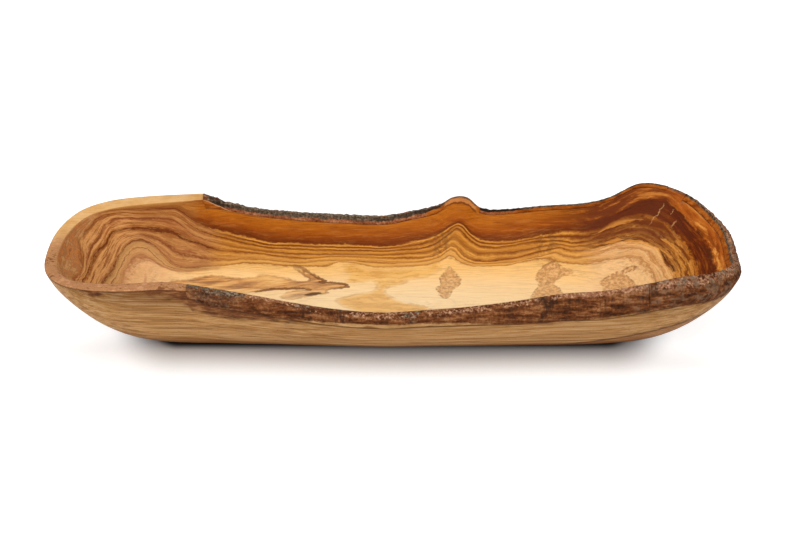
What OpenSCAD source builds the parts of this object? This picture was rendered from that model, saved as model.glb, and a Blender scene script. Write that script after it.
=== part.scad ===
// Long live-edge bowl carved from one olive log.
// X runs along the bowl, Y across it and Z up. The origin is on the table, under the middle of the bowl.
// Both ends overhang the flat foot. The rim is the log's own outer surface, with its bark still on it,
// apart from the left end, which is sawn bare, and a bare knot on the back rim.

/* [Overall] */
// Length of the bowl from end to end
body_l = 400; // [330:5:470]
// Width of the bowl at its widest
body_w = 136; // [115:1:160]
// Height of the tallest part of the rim above the table
body_h = 60; // [52:1:72]

/* [Foot] */
// Length of the flat foot
foot_l = 272; // [230:2:300]
// Width of the flat foot
foot_w = 56; // [46:1:68]

/* [Hollow] */
// Thickness of the wood under the lowest point of the hollow
floor_t = 10; // [7:0.5:13]
// Rise from the lowest point of the hollow to the edge of its floor
floor_rise = 1.5; // [0.5:0.5:3]
// Length of the gently dished floor
floor_l = 250; // [210:2:270]
// Width of the gently dished floor
floor_w = 54; // [44:1:60]

/* [Rim] */
// Width of the rim where it is sawn bare
rim_w = 11; // [9:0.5:13]
// Fall of the log's outer surface across the rim, at the right end
rim_fall = 11; // [8:0.5:12]
// Rise of the sawn rim above the bark that it meets at the back
sawn_rise = 2.5; // [0.5:0.5:4]
// How far the middle of the rim stands proud of a straight bevel
rim_crown = 0.7; // [0.3:0.1:1.2]

/* [Bark] */
// Thickness of the bark on the front, the right end and the left of the back
bark_t = 4.2; // [3.4:0.2:6]
// Thickness of the thin bark on the right of the back
thin_bark_t = 3; // [2:0.2:4]
// Extra swelling of the outer crust of the bark
crust_crown = 0.9; // [0.4:0.1:1.5]

/* [Hidden] */

// Overrun of the cut that leaves the foot flat
cut_over = 2;

// Each row is a point of the rim, from the right tip round the back, the left tip and the front.
// Its values are the place along the bowl, as a share of half the length, the place across it, as a
// share of half the width, the height of the inner edge, as a share of the height, the width of
// the rim, as a share of rim_w, and the fall across the rim, as a share of rim_fall.
rim_shares = [
  [1.000, 0.000, 0.680, 0.40, 0.45],
  [0.990, 0.335, 0.780, 0.46, 0.62],
  [0.955, 0.600, 0.850, 0.56, 0.80],
  [0.895, 0.805, 0.940, 0.64, 0.95],
  [0.815, 0.910, 1.000, 0.66, 1.00],
  [0.730, 0.945, 1.000, 0.66, 1.00],
  [0.640, 0.950, 0.850, 0.68, 1.00],
  [0.560, 0.945, 0.788, 0.68, 1.00],
  [0.450, 0.945, 0.762, 0.68, 0.95],
  [0.330, 0.960, 0.708, 0.64, 0.75],
  [0.270, 0.970, 0.712, 0.60, 0.62],
  [0.225, 0.985, 0.825, 0.58, 0.62],
  [0.180, 0.995, 0.820, 0.58, 0.62],
  [0.130, 0.998, 0.715, 0.58, 0.54],
  [0.060, 1.000, 0.655, 0.58, 0.48],
  [-0.030, 1.000, 0.600, 0.58, 0.46],
  [-0.150, 0.985, 0.622, 0.58, 0.46],
  [-0.275, 0.950, 0.664, 0.58, 0.46],
  [-0.400, 0.915, 0.728, 0.60, 0.46],
  [-0.515, 0.900, 0.812, 0.70, 0.30],
  [-0.625, 0.892, 0.822, 0.95, 0.05],
  [-0.750, 0.880, 0.805, 1.00, -0.08],
  [-0.850, 0.830, 0.785, 0.95, -0.08],
  [-0.930, 0.690, 0.755, 0.80, -0.04],
  [-0.983, 0.400, 0.715, 0.70, 0.02],
  [-1.000, 0.000, 0.685, 0.66, 0.06],
  [-0.983, -0.370, 0.712, 0.70, 0.02],
  [-0.930, -0.665, 0.755, 0.80, -0.05],
  [-0.850, -0.820, 0.785, 0.92, -0.08],
  [-0.750, -0.880, 0.812, 0.95, -0.05],
  [-0.625, -0.892, 0.838, 0.90, 0.06],
  [-0.515, -0.900, 0.803, 0.70, 0.40],
  [-0.400, -0.915, 0.748, 0.60, 0.46],
  [-0.275, -0.950, 0.683, 0.58, 0.40],
  [-0.150, -0.985, 0.635, 0.58, 0.36],
  [-0.025, -1.000, 0.613, 0.58, 0.34],
  [0.100, -1.000, 0.640, 0.58, 0.38],
  [0.225, -0.985, 0.668, 0.58, 0.48],
  [0.350, -0.960, 0.708, 0.62, 0.72],
  [0.475, -0.945, 0.768, 0.66, 0.92],
  [0.600, -0.945, 0.803, 0.66, 1.00],
  [0.730, -0.945, 0.887, 0.66, 1.00],
  [0.815, -0.900, 0.922, 0.66, 1.00],
  [0.890, -0.795, 0.897, 0.64, 0.95],
  [0.955, -0.600, 0.850, 0.56, 0.80],
  [0.990, -0.340, 0.785, 0.46, 0.62],
];
ROWS = len(rim_shares);

// Where each run of the rim starts, as shares of the way round from the right tip, and where the
// last one ends, past the tip again
run_start_shares = [0.068, 0.084, 0.220, 0.272, 0.4225, 0.6625, 0.888, 1.068];
// Steps along each run, and the thickness of its bark, which is 0 where the wood is bare
RUN_STEPS = [3, 14, 7, 15, 28, 22, 18];
run_bark = [0, thin_bark_t, 0, bark_t, 0, bark_t, bark_t];
// Places in those lists of the four runs that have bark and of the sawn rim
right_of_back_index = 1;
left_of_back_index = 3;
sawn_index = 4;
front_index = 5;
right_end_index = 6;
// Half the crack between two runs, as a share of the way round
crack_share = 0.0004;
// The way round from the right tip to the left one, as a share
left_tip_share = 25 / ROWS;

// The outer wall from the foot to the rim, and the wall of the hollow from its floor to the rim.
// Each pair is a place out towards the rim and the height there, both as shares.
wall_shares = [[0, 0], [0.20, 0.05], [0.41, 0.17], [0.62, 0.36], [0.80, 0.59], [0.93, 0.81], [1, 1]];
hollow_shares = [[0, 0], [0.22, 0.06], [0.45, 0.19], [0.67, 0.41], [0.84, 0.66], [0.94, 0.84], [1, 1]];
// Rings of the dished floor, as shares of its length and width
floor_ring_shares = [0.78, 0.52, 0.25];
// Steps up the outer wall, up the hollow and across the rim
WALL_STEPS = 12;
HOLLOW_STEPS = 14;
RIM_STEPS = 3;
// Squareness of the foot's and the floor's outlines: 2 is an ellipse
foot_power = 7;
floor_power = 2.6;
// How closely the lift of the sawn rim keeps to the top of the walls
lift_power = 6;

// A smooth curve through four values, at a share t of the way from b to c
function curve(a, b, c, d, t) =
  b + 0.5 * t * (c - a + t * (2 * a - 5 * b + 4 * c - d + t * (3 * (b - c) + d - a)));
// The values of the rim at a row, and at any share of the way round
function rim_row(i) = rim_shares[(i % ROWS + ROWS) % ROWS];
function rim_at(way) =
  let (row = way * ROWS, i = floor(row))
  curve(rim_row(i - 1), rim_row(i), rim_row(i + 1), rim_row(i + 2), row - i);
// A point of a wall's profile, at a share u of its steps
function profile_at(shares, u) =
  let (last = len(shares) - 1, q = u * last, i = min(floor(q), last - 1))
  curve(shares[max(i - 1, 0)], shares[i], shares[i + 1], shares[min(i + 2, last)], q - i);
// A value between two others, and a list of lists made into one list
function mix(a, b, t) = a + (b - a) * t;
function flat(lists) = [for (list = lists) for (item = list) item];

// Stations along a run, each with its share of the way round and its thickness of bark
function run_stations(index) =
  let (
    first = run_start_shares[index] + crack_share,
    last = run_start_shares[index + 1] - crack_share,
    steps = RUN_STEPS[index]
  )
  [for (k = [0:steps]) [mix(first, last, k / steps), run_bark[index]]];
stations = flat([for (index = [0:len(RUN_STEPS) - 1]) run_stations(index)]);
COUNT = len(stations);

// The outline of the foot or the floor, in the direction of a place on the rim
function outline(place, l, w, power) =
  let (
    a = atan2(place[1], place[0]),
    r = pow(pow(abs(cos(a)), power) + pow(abs(sin(a)), power), -1 / power)
  )
  [l / 2 * r * cos(a), w / 2 * r * sin(a)];
// The outer edge of the rim in plan, and the level direction straight out of it
function edge_at(way) = let (v = rim_at(way)) [body_l / 2 * v[0], body_w / 2 * v[1]];
function outward(way) =
  let (along = edge_at(way + crack_share) - edge_at(way - crack_share))
  [along.y, -along.x] / norm(along);
// How much the sawn rim is shaped by the bark next to it: 1 where it meets the bark, 0 at the left tip.
// It is above 0 towards the bark at the back and below 0 towards the bark at the front.
function sawn_at(way) =
  let (start = run_start_shares[sawn_index], end = run_start_shares[front_index])
  (way > start && way < left_tip_share) ? (left_tip_share - way) / (left_tip_share - start)
  : (way >= left_tip_share && way < end) ? (left_tip_share - way) / (end - left_tip_share) : 0;

// Everything that the surfaces need at one station, worked out once: the outlines of the foot and of
// the floor, the outer edge and the inner lip of the rim, the thickness of the bark, the way out, and
// how much sawing level lifts the outer edge and the inner lip above the log's own surface
foot_index = 0;
floor_index = 1;
edge_index = 2;
lip_index = 3;
bark_index = 4;
out_index = 5;
lift_index = 6;
function section(station) =
  let (
    way = station[0],
    v = rim_at(way),
    out = outward(way),
    edge = edge_at(way),
    lip = edge - out * rim_w * v[3],
    top = body_h * v[2],
    fall = rim_fall * v[4],
    sawn = sawn_at(way),
    rise = sawn_rise * max(sawn, 0)
  )
  [
    outline(v, foot_l, foot_w, foot_power),
    outline(v, floor_l, floor_w, floor_power),
    [edge[0], edge[1], top - fall],
    [lip[0], lip[1], top],
    station[1],
    out,
    [rise + fall * abs(sawn), rise]
  ];
sections = [for (station = stations) section(station)];
floor_z = floor_t + floor_rise;

// A point of the outer wall and of the hollow's wall, at a share u of the way up to the rim
function wall_point(s, u) =
  let (q = profile_at(wall_shares, u), plan = mix(s[foot_index], [s[edge_index].x, s[edge_index].y], q[0]))
  [plan.x, plan.y, s[edge_index].z * q[1] + s[lift_index][0] * pow(q[1], lift_power)];
function hollow_point(s, u) =
  let (q = profile_at(hollow_shares, u), plan = mix(s[floor_index], [s[lip_index].x, s[lip_index].y], q[0]))
  [plan.x, plan.y, mix(floor_z, s[lip_index].z, q[1]) + s[lift_index][1] * pow(q[1], lift_power)];
// How fast a wall climbs where it meets the rim, in its own heights for one whole wall of steps
function climb(shares) =
  let (last = len(shares) - 1)
  last * (shares[last][1] - shares[last - 1][1]);
// Where the wood ends under the bark, on each wall, as a share of the way up
function wall_end(s) = 1 - s[bark_index] / s[edge_index].z / climb(wall_shares);
function hollow_end(s) = 1 - s[bark_index] / (s[lip_index].z - floor_z) / climb(hollow_shares);

// A point across the rim from the outer to the inner edge, on the wood or on the bark
function rim_point(s, t, bark) =
  let (
    a = wall_point(s, bark ? 1 : wall_end(s)),
    b = hollow_point(s, bark ? 1 : hollow_end(s)),
    way = b - a,
    across = norm([way.x, way.y]),
    rise = [s[out_index].x * way.z, s[out_index].y * way.z, across] / norm(way),
    crown = rim_crown + (bark ? crust_crown : 0)
  )
  mix(a, b, t) + rise * crown * 4 * t * (1 - t);

// One ring of the dished floor, at a share of its length and width
function floor_ring(g) =
  [for (s = sections) [s[floor_index].x * g, s[floor_index].y * g, floor_t + floor_rise * g * g]];
// Rings of the wood, from under the foot up the wall, over the rim and down into the hollow
rings = concat(
  [[for (s = sections) [s[foot_index].x, s[foot_index].y, -cut_over]]],
  [for (k = [0:WALL_STEPS]) [for (s = sections) wall_point(s, k / WALL_STEPS * wall_end(s))]],
  [for (k = [1:RIM_STEPS - 1]) [for (s = sections) rim_point(s, k / RIM_STEPS, false)]],
  [for (k = [HOLLOW_STEPS:-1:0]) [for (s = sections) hollow_point(s, k / HOLLOW_STEPS * hollow_end(s))]],
  [for (g = floor_ring_shares) floor_ring(g)]
);

// Two triangles for each cell between two closed rings of COUNT points
function band_faces(first) = flat([
  for (k = [0:COUNT - 1])
    let (a = first + k, b = first + (k + 1) % COUNT, c = b + COUNT, d = a + COUNT)
    [[a, c, b], [a, d, c]]
]);

module bowl_body() {
  points = concat(flat(rings), [[0, 0, floor_t]]);
  inner = (len(rings) - 1) * COUNT;
  faces = concat(
    [[for (k = [0:COUNT - 1]) k]],
    flat([for (r = [0:len(rings) - 2]) band_faces(r * COUNT)]),
    [for (k = [0:COUNT - 1]) [inner + k, len(points) - 1, inner + (k + 1) % COUNT]]
  );
  color("peru") difference() {
    polyhedron(points, faces);
    translate([-body_l, -body_w, -2 * cut_over]) cube([2 * body_l, 2 * body_w, 2 * cut_over]);
  }
}

// One run of bark: its wood side, its crust and its cut faces
module bark_run(index) {
  run = [for (station = run_stations(index)) section(station)];
  n = len(run);
  lines = concat(
    [for (k = [0:RIM_STEPS]) [for (s = run) rim_point(s, k / RIM_STEPS, false)]],
    [for (k = [RIM_STEPS:-1:0]) [for (s = run) rim_point(s, k / RIM_STEPS, true)]]
  );
  m = len(lines);
  sides = flat([
    for (r = [0:m - 1]) for (k = [0:n - 2])
      let (a = r * n + k, b = a + 1, d = ((r + 1) % m) * n + k, c = d + 1)
      [[a, b, c], [a, c, d]]
  ]);
  ends = flat([
    for (r = [0:RIM_STEPS - 1])
      let (a = r * n, b = (r + 1) * n, c = (m - 2 - r) * n, d = (m - 1 - r) * n)
      [[a, b, c], [a, c, d], [a + n - 1, c + n - 1, b + n - 1], [a + n - 1, d + n - 1, c + n - 1]]
  ]);
  polyhedron(flat(lines), concat(sides, ends));
}

module front_bark() {
  color("saddlebrown") bark_run(front_index);
}

module end_bark() {
  color("sienna") bark_run(right_end_index);
}

module back_bark_right() {
  color("dimgray") bark_run(right_of_back_index);
}

module back_bark_left() {
  color("dimgray") bark_run(left_of_back_index);
}

bowl_body();
front_bark();
end_bark();
back_bark_right();
back_bark_left();
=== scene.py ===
"""Dress the long live-edge olive bowl: its wood, its knots, its bark and a plain studio."""

import logging
import math
from dataclasses import dataclass, fields
from enum import Enum
from typing import Sequence

import bpy
import numpy as np
from mathutils import Matrix, Vector, noise


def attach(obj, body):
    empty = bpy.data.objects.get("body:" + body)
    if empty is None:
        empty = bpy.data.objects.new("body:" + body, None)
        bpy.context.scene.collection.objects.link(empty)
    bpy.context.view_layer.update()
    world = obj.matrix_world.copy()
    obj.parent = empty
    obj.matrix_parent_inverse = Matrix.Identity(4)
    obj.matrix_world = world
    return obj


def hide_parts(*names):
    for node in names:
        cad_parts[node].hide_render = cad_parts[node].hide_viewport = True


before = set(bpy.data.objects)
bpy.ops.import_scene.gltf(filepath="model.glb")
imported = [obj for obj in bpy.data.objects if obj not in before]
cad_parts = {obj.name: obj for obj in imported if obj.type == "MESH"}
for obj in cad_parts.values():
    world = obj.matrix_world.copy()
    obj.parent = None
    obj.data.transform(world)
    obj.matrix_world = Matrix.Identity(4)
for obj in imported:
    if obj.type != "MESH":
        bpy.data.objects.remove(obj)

log = logging.getLogger("bowl")
MM = 0.001
# A distance in millimetres at which a figure, an edge or a strip's end no longer counts
FAR = 30.0
Colour = tuple[float, float, float, float]
Stops = tuple[tuple[float, str], ...]


def tint(code: str) -> Colour:
    """Turn a colour written as six hexadecimal digits into the linear values that shaders use.

    Args:
        code: Red, green and blue, two digits each, as seen on a screen.

    Returns:
        Linear red, green, blue and an alpha of 1.
    """
    parts = (int(code[k:k + 2], 16) / 255 for k in (0, 2, 4))
    linear = [c / 12.92 if c <= 0.04045 else ((c + 0.055) / 1.055) ** 2.4 for c in parts]
    return (linear[0], linear[1], linear[2], 1.0)


def spline(a: np.ndarray, b: np.ndarray, c: np.ndarray, d: np.ndarray, t: np.ndarray) -> np.ndarray:
    """Follow a smooth curve through four values, at a share t of the way from b to c."""
    return b + 0.5 * t * (c - a + t * (2 * a - 5 * b + 4 * c - d + t * (3 * (b - c) + d - a)))


def mix(a: np.ndarray, b: np.ndarray, t: np.ndarray) -> np.ndarray:
    """Return the value at a share t of the way from a to b."""
    return a + (b - a) * t


# How fast the finer layers of smooth noise fade, and how much finer each one is
RIPPLE_FADE = 0.9
RIPPLE_FINENESS = 2.1

# Each row is a point of the rim, from the right tip round the back, the left tip and the front:
# the place along the bowl as a share of half the length, the place across it as a share of half
# the width, the height of the inner edge as a share of the height, the width of the rim as a share
# of the sawn rim's width, and the fall across the rim as a share of the right end's fall.
RIM_SHARES = (
    (1.000, 0.000, 0.680, 0.40, 0.45),
    (0.990, 0.335, 0.780, 0.46, 0.62),
    (0.955, 0.600, 0.850, 0.56, 0.80),
    (0.895, 0.805, 0.940, 0.64, 0.95),
    (0.815, 0.910, 1.000, 0.66, 1.00),
    (0.730, 0.945, 1.000, 0.66, 1.00),
    (0.640, 0.950, 0.850, 0.68, 1.00),
    (0.560, 0.945, 0.788, 0.68, 1.00),
    (0.450, 0.945, 0.762, 0.68, 0.95),
    (0.330, 0.960, 0.708, 0.64, 0.75),
    (0.270, 0.970, 0.712, 0.60, 0.62),
    (0.225, 0.985, 0.825, 0.58, 0.62),
    (0.180, 0.995, 0.820, 0.58, 0.62),
    (0.130, 0.998, 0.715, 0.58, 0.54),
    (0.060, 1.000, 0.655, 0.58, 0.48),
    (-0.030, 1.000, 0.600, 0.58, 0.46),
    (-0.150, 0.985, 0.622, 0.58, 0.46),
    (-0.275, 0.950, 0.664, 0.58, 0.46),
    (-0.400, 0.915, 0.728, 0.60, 0.46),
    (-0.515, 0.900, 0.812, 0.70, 0.30),
    (-0.625, 0.892, 0.822, 0.95, 0.05),
    (-0.750, 0.880, 0.805, 1.00, -0.08),
    (-0.850, 0.830, 0.785, 0.95, -0.08),
    (-0.930, 0.690, 0.755, 0.80, -0.04),
    (-0.983, 0.400, 0.715, 0.70, 0.02),
    (-1.000, 0.000, 0.685, 0.66, 0.06),
    (-0.983, -0.370, 0.712, 0.70, 0.02),
    (-0.930, -0.665, 0.755, 0.80, -0.05),
    (-0.850, -0.820, 0.785, 0.92, -0.08),
    (-0.750, -0.880, 0.812, 0.95, -0.05),
    (-0.625, -0.892, 0.838, 0.90, 0.06),
    (-0.515, -0.900, 0.803, 0.70, 0.40),
    (-0.400, -0.915, 0.748, 0.60, 0.46),
    (-0.275, -0.950, 0.683, 0.58, 0.40),
    (-0.150, -0.985, 0.635, 0.58, 0.36),
    (-0.025, -1.000, 0.613, 0.58, 0.34),
    (0.100, -1.000, 0.640, 0.58, 0.38),
    (0.225, -0.985, 0.668, 0.58, 0.48),
    (0.350, -0.960, 0.708, 0.62, 0.72),
    (0.475, -0.945, 0.768, 0.66, 0.92),
    (0.600, -0.945, 0.803, 0.66, 1.00),
    (0.730, -0.945, 0.887, 0.66, 1.00),
    (0.815, -0.900, 0.922, 0.66, 1.00),
    (0.890, -0.795, 0.897, 0.64, 0.95),
    (0.955, -0.600, 0.850, 0.56, 0.80),
    (0.990, -0.340, 0.785, 0.46, 0.62),
)
WALL_SHARES = ((0, 0), (0.20, 0.05), (0.41, 0.17), (0.62, 0.36), (0.80, 0.59), (0.93, 0.81), (1, 1))
HOLLOW_SHARES = ((0, 0), (0.22, 0.06), (0.45, 0.19), (0.67, 0.41), (0.84, 0.66), (0.94, 0.84), (1, 1))


@dataclass(frozen=True)
class Run:
    """One run of the rim, bare or covered with bark.

    Attributes:
        start_share: Where it starts, as a share of the way round from the right tip.
        end_share: Where it ends.
        bark: Thickness of its bark, in metres, 0 on bare wood.
        node: Name of the bark's node, empty on bare wood.
    """

    start_share: float
    end_share: float
    bark: float = 0.0
    node: str = ""


THICK_BARK = 4.2 * MM
THIN_BARK = 3.0 * MM
RUNS = (
    Run(0.068, 0.084),
    Run(0.084, 0.220, THIN_BARK, "back_bark_right"),
    Run(0.220, 0.272),
    Run(0.272, 0.4225, THICK_BARK, "back_bark_left"),
    Run(0.4225, 0.6625),
    Run(0.6625, 0.888, THICK_BARK, "front_bark"),
    Run(0.888, 1.068, THICK_BARK, "end_bark"),
)
# Shares of the way round where the sawn left end starts and stops, and where its tip is
SAWN_START_SHARE = 0.4225
SAWN_END_SHARE = 0.6625
LEFT_TIP_SHARE = 25 / len(RIM_SHARES)


@dataclass
class Section:
    """What the surfaces need at a list of stations round the rim.

    Attributes:
        way: Shares of the way round.
        foot: Outline of the foot, in plan.
        floor: Outline of the hollow's floor, in plan.
        edge: Outer edge of the rim.
        lip: Inner edge of the rim.
        out: Level direction straight out of the rim.
        bark: Thickness of the bark.
        lift: How much sawing level lifts the outer edge and the lip above the log's own surface.
    """

    way: np.ndarray
    foot: np.ndarray
    floor: np.ndarray
    edge: np.ndarray
    lip: np.ndarray
    out: np.ndarray
    bark: np.ndarray
    lift: np.ndarray


@dataclass(frozen=True)
class BowlForm:
    """The bowl's carved shape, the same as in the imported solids, at any fineness."""

    length: float = 400 * MM
    width: float = 136 * MM
    height: float = 60 * MM
    foot_size: tuple[float, float] = (272 * MM, 56 * MM)
    floor_size: tuple[float, float] = (250 * MM, 54 * MM)
    # Squareness of the foot's and the floor's outlines, 2 for an ellipse
    foot_power: float = 7.0
    floor_power: float = 2.6
    floor_height: float = 10 * MM
    floor_rise: float = 1.5 * MM
    rim_width: float = 11 * MM
    rim_fall: float = 11 * MM
    sawn_rise: float = 2.5 * MM
    rim_crown: float = 0.7 * MM
    crust_crown: float = 0.9 * MM
    # Shares of the way round: a step for slopes, half a seam, and where the sawing fades out
    step_share: float = 0.0004
    seam_share: float = 0.00008
    merge_share: float = 0.012
    # How late on the way up the sawing's lift sets in
    lift_power: float = 6.0

    def rim(self, way: np.ndarray) -> np.ndarray:
        """Read the rim's shares at any share of the way round.

        Args:
            way: Shares of the way round from the right tip.

        Returns:
            One row of five shares for each.
        """
        rows = np.array(RIM_SHARES)
        place = way * len(rows)
        first = np.floor(place).astype(int)
        four = [rows[(first + k) % len(rows)] for k in (-1, 0, 1, 2)]
        return spline(*four, (place - first)[:, None])

    def edge_plan(self, way: np.ndarray) -> np.ndarray:
        """Return the rim's outer edge in plan, in metres."""
        return self.rim(way)[:, :2] * (self.length / 2, self.width / 2)

    def outline(self, shares: np.ndarray, size: tuple[float, float], power: float) -> np.ndarray:
        """Follow a squarish outline in the directions of the rim's stations.

        Args:
            shares: The rim's shares at the stations.
            size: Length and width of the outline.
            power: Its squareness, 2 for an ellipse.

        Returns:
            Its points in plan.
        """
        angle = np.arctan2(shares[:, 1], shares[:, 0])
        cosine, sine = np.cos(angle), np.sin(angle)
        reach = (np.abs(cosine) ** power + np.abs(sine) ** power) ** (-1 / power)
        return np.stack([size[0] / 2 * reach * cosine, size[1] / 2 * reach * sine], 1)

    def section(self, way: np.ndarray, bark: float) -> Section:
        """Work out the section at stations of one run.

        Args:
            way: Shares of the way round.
            bark: Thickness of the run's bark.

        Returns:
            The section's outlines and edges.
        """
        shares = self.rim(way)
        along = self.edge_plan(way + self.step_share) - self.edge_plan(way - self.step_share)
        out = np.stack([along[:, 1], -along[:, 0]], 1) / np.linalg.norm(along, axis=1)[:, None]
        edge = self.edge_plan(way)
        lip = edge - out * (self.rim_width * shares[:, 3])[:, None]
        behind = (LEFT_TIP_SHARE - way) / (LEFT_TIP_SHARE - SAWN_START_SHARE)
        before = (way - LEFT_TIP_SHARE) / (SAWN_END_SHARE - LEFT_TIP_SHARE)
        behind = np.where((way > SAWN_START_SHARE) & (way < LEFT_TIP_SHARE), behind, 0)
        before = np.where((way >= LEFT_TIP_SHARE) & (way < SAWN_END_SHARE), before, 0)
        bark_side = (way <= SAWN_START_SHARE) & (way > SAWN_START_SHARE - self.merge_share)
        behind = np.where(bark_side, 1 - (SAWN_START_SHARE - way) / self.merge_share, behind)
        bark_side = (way >= SAWN_END_SHARE) & (way < SAWN_END_SHARE + self.merge_share)
        before = np.where(bark_side, 1 - (way - SAWN_END_SHARE) / self.merge_share, before)
        top = self.height * shares[:, 2]
        fall = self.rim_fall * shares[:, 4]
        rise = self.sawn_rise * behind
        return Section(
            way,
            self.outline(shares, self.foot_size, self.foot_power),
            self.outline(shares, self.floor_size, self.floor_power),
            np.column_stack([edge, top - fall]),
            np.column_stack([lip, top]),
            out,
            np.full(len(way), bark),
            np.column_stack([rise + fall * (behind + before), rise]),
        )

    @staticmethod
    def profile(shares: Sequence[tuple[float, float]], u: np.ndarray) -> np.ndarray:
        """Read a wall's profile.

        Args:
            shares: The profile's pairs of shares.
            u: Shares of its steps.

        Returns:
            One pair for each: the share of the way out and the share of the way up.
        """
        table = np.array(shares, float)
        last = len(table) - 1
        place = np.asarray(u, float) * last
        first = np.clip(np.floor(place).astype(int), 0, last - 1)
        four = [table[np.clip(first + k, 0, last)] for k in (-1, 0, 1, 2)]
        return spline(*four, (place - first)[:, None])

    def wall(self, s: Section, u: np.ndarray) -> np.ndarray:
        """Find points of the outer wall.

        Args:
            s: The section.
            u: Shares of the way up.

        Returns:
            The points.
        """
        q = self.profile(WALL_SHARES, u)
        plan = mix(s.foot, s.edge[:, :2], q[:, :1])
        return np.column_stack([plan, s.edge[:, 2] * q[:, 1] + s.lift[:, 0] * q[:, 1] ** self.lift_power])

    def hollow(self, s: Section, u: np.ndarray) -> np.ndarray:
        """Find points of the hollow's wall.

        Args:
            s: The section.
            u: Shares of the way up.

        Returns:
            The points.
        """
        q = self.profile(HOLLOW_SHARES, u)
        plan = mix(s.floor, s.lip[:, :2], q[:, :1])
        base = self.floor_height + self.floor_rise
        height = mix(base, s.lip[:, 2], q[:, 1]) + s.lift[:, 1] * q[:, 1] ** self.lift_power
        return np.column_stack([plan, height])

    @staticmethod
    def climb(shares: Sequence[tuple[float, float]]) -> float:
        """Return how fast a profile climbs where it meets the rim, in its heights per whole wall."""
        return (len(shares) - 1) * (shares[-1][1] - shares[-2][1])

    def wall_end(self, s: Section) -> np.ndarray:
        """Return how far up the outer wall its wood reaches, under the bark."""
        return 1 - s.bark / s.edge[:, 2] / self.climb(WALL_SHARES)

    def hollow_end(self, s: Section) -> np.ndarray:
        """Return how far up the hollow's wall its wood reaches, under the bark."""
        rise = s.lip[:, 2] - self.floor_height - self.floor_rise
        return 1 - s.bark / rise / self.climb(HOLLOW_SHARES)

    def across(self, s: Section, t: float, bark: bool) -> tuple[np.ndarray, np.ndarray]:
        """Find points across the rim, on the wood or on the bark.

        Args:
            s: The section.
            t: Share of the way from the outer to the inner edge.
            bark: Whether the points are on the bark.

        Returns:
            The points, and the rim's outward normals there.
        """
        full = np.ones(len(s.way))
        low = self.wall(s, full if bark else self.wall_end(s))
        high = self.hollow(s, full if bark else self.hollow_end(s))
        way = high - low
        level = np.linalg.norm(way[:, :2], axis=1)
        rise = np.column_stack([s.out * way[:, 2:], level]) / np.linalg.norm(way, axis=1)[:, None]
        crown = self.rim_crown + (self.crust_crown if bark else 0)
        return mix(low, high, t) + rise * crown * 4 * t * (1 - t), rise


def lattice(rings: np.ndarray, closed: bool) -> list[tuple[int, int, int, int]]:
    """List the faces between neighbouring rings of points.

    Args:
        rings: Points by ring and station.
        closed: Whether the last station meets the first.

    Returns:
        Four point numbers for each face.
    """
    count = rings.shape[1]
    a = np.arange(count if closed else count - 1)
    b = (a + 1) % count
    start = np.arange(rings.shape[0] - 1)[:, None] * count
    faces = np.stack([start + a, start + a + count, start + b + count, start + b], 2)
    return [tuple(face) for face in faces.reshape(-1, 4).tolist()]


def make_piece(
    name: str, points: np.ndarray, faces: list[tuple[int, ...]], marks: dict[str, np.ndarray]
) -> bpy.types.Object:
    """Make a smooth mesh piece with named values on its points.

    Args:
        name: Name of the piece.
        points: Its points, in metres.
        faces: Point numbers of its faces.
        marks: Values on the points, by attribute name.

    Returns:
        The new object, linked to the scene.
    """
    mesh = bpy.data.meshes.new(name)
    mesh.from_pydata(points.tolist(), [], faces)
    mesh.polygons.foreach_set("use_smooth", np.ones(len(mesh.polygons), bool))
    for label, values in marks.items():
        mark = mesh.attributes.new(label, "FLOAT", "POINT")
        mark.data.foreach_set("value", np.asarray(values, np.float32))
    mesh.validate()
    mesh.update()
    piece = bpy.data.objects.new(name, mesh)
    bpy.context.scene.collection.objects.link(piece)
    return piece


def ripple(points: np.ndarray, scale: Sequence[float], octaves: int, seed: float) -> np.ndarray:
    """Return smooth noise at points, about -1 to 1, for a scale in bumps per metre."""
    places = (points * scale + seed).tolist()
    return np.array([noise.fractal(Vector(p), RIPPLE_FADE, RIPPLE_FINENESS, octaves) for p in places])


def ridges(points: np.ndarray, scale: float, seed: float) -> np.ndarray:
    """Return 0 in the cracks between scattered cells and about 1 in a cell's middle."""
    near = [noise.voronoi(Vector(p))[0] for p in (points * scale + seed).tolist()]
    return np.clip([(d[1] - d[0]) * 2 for d in near], 0, 1)


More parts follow.
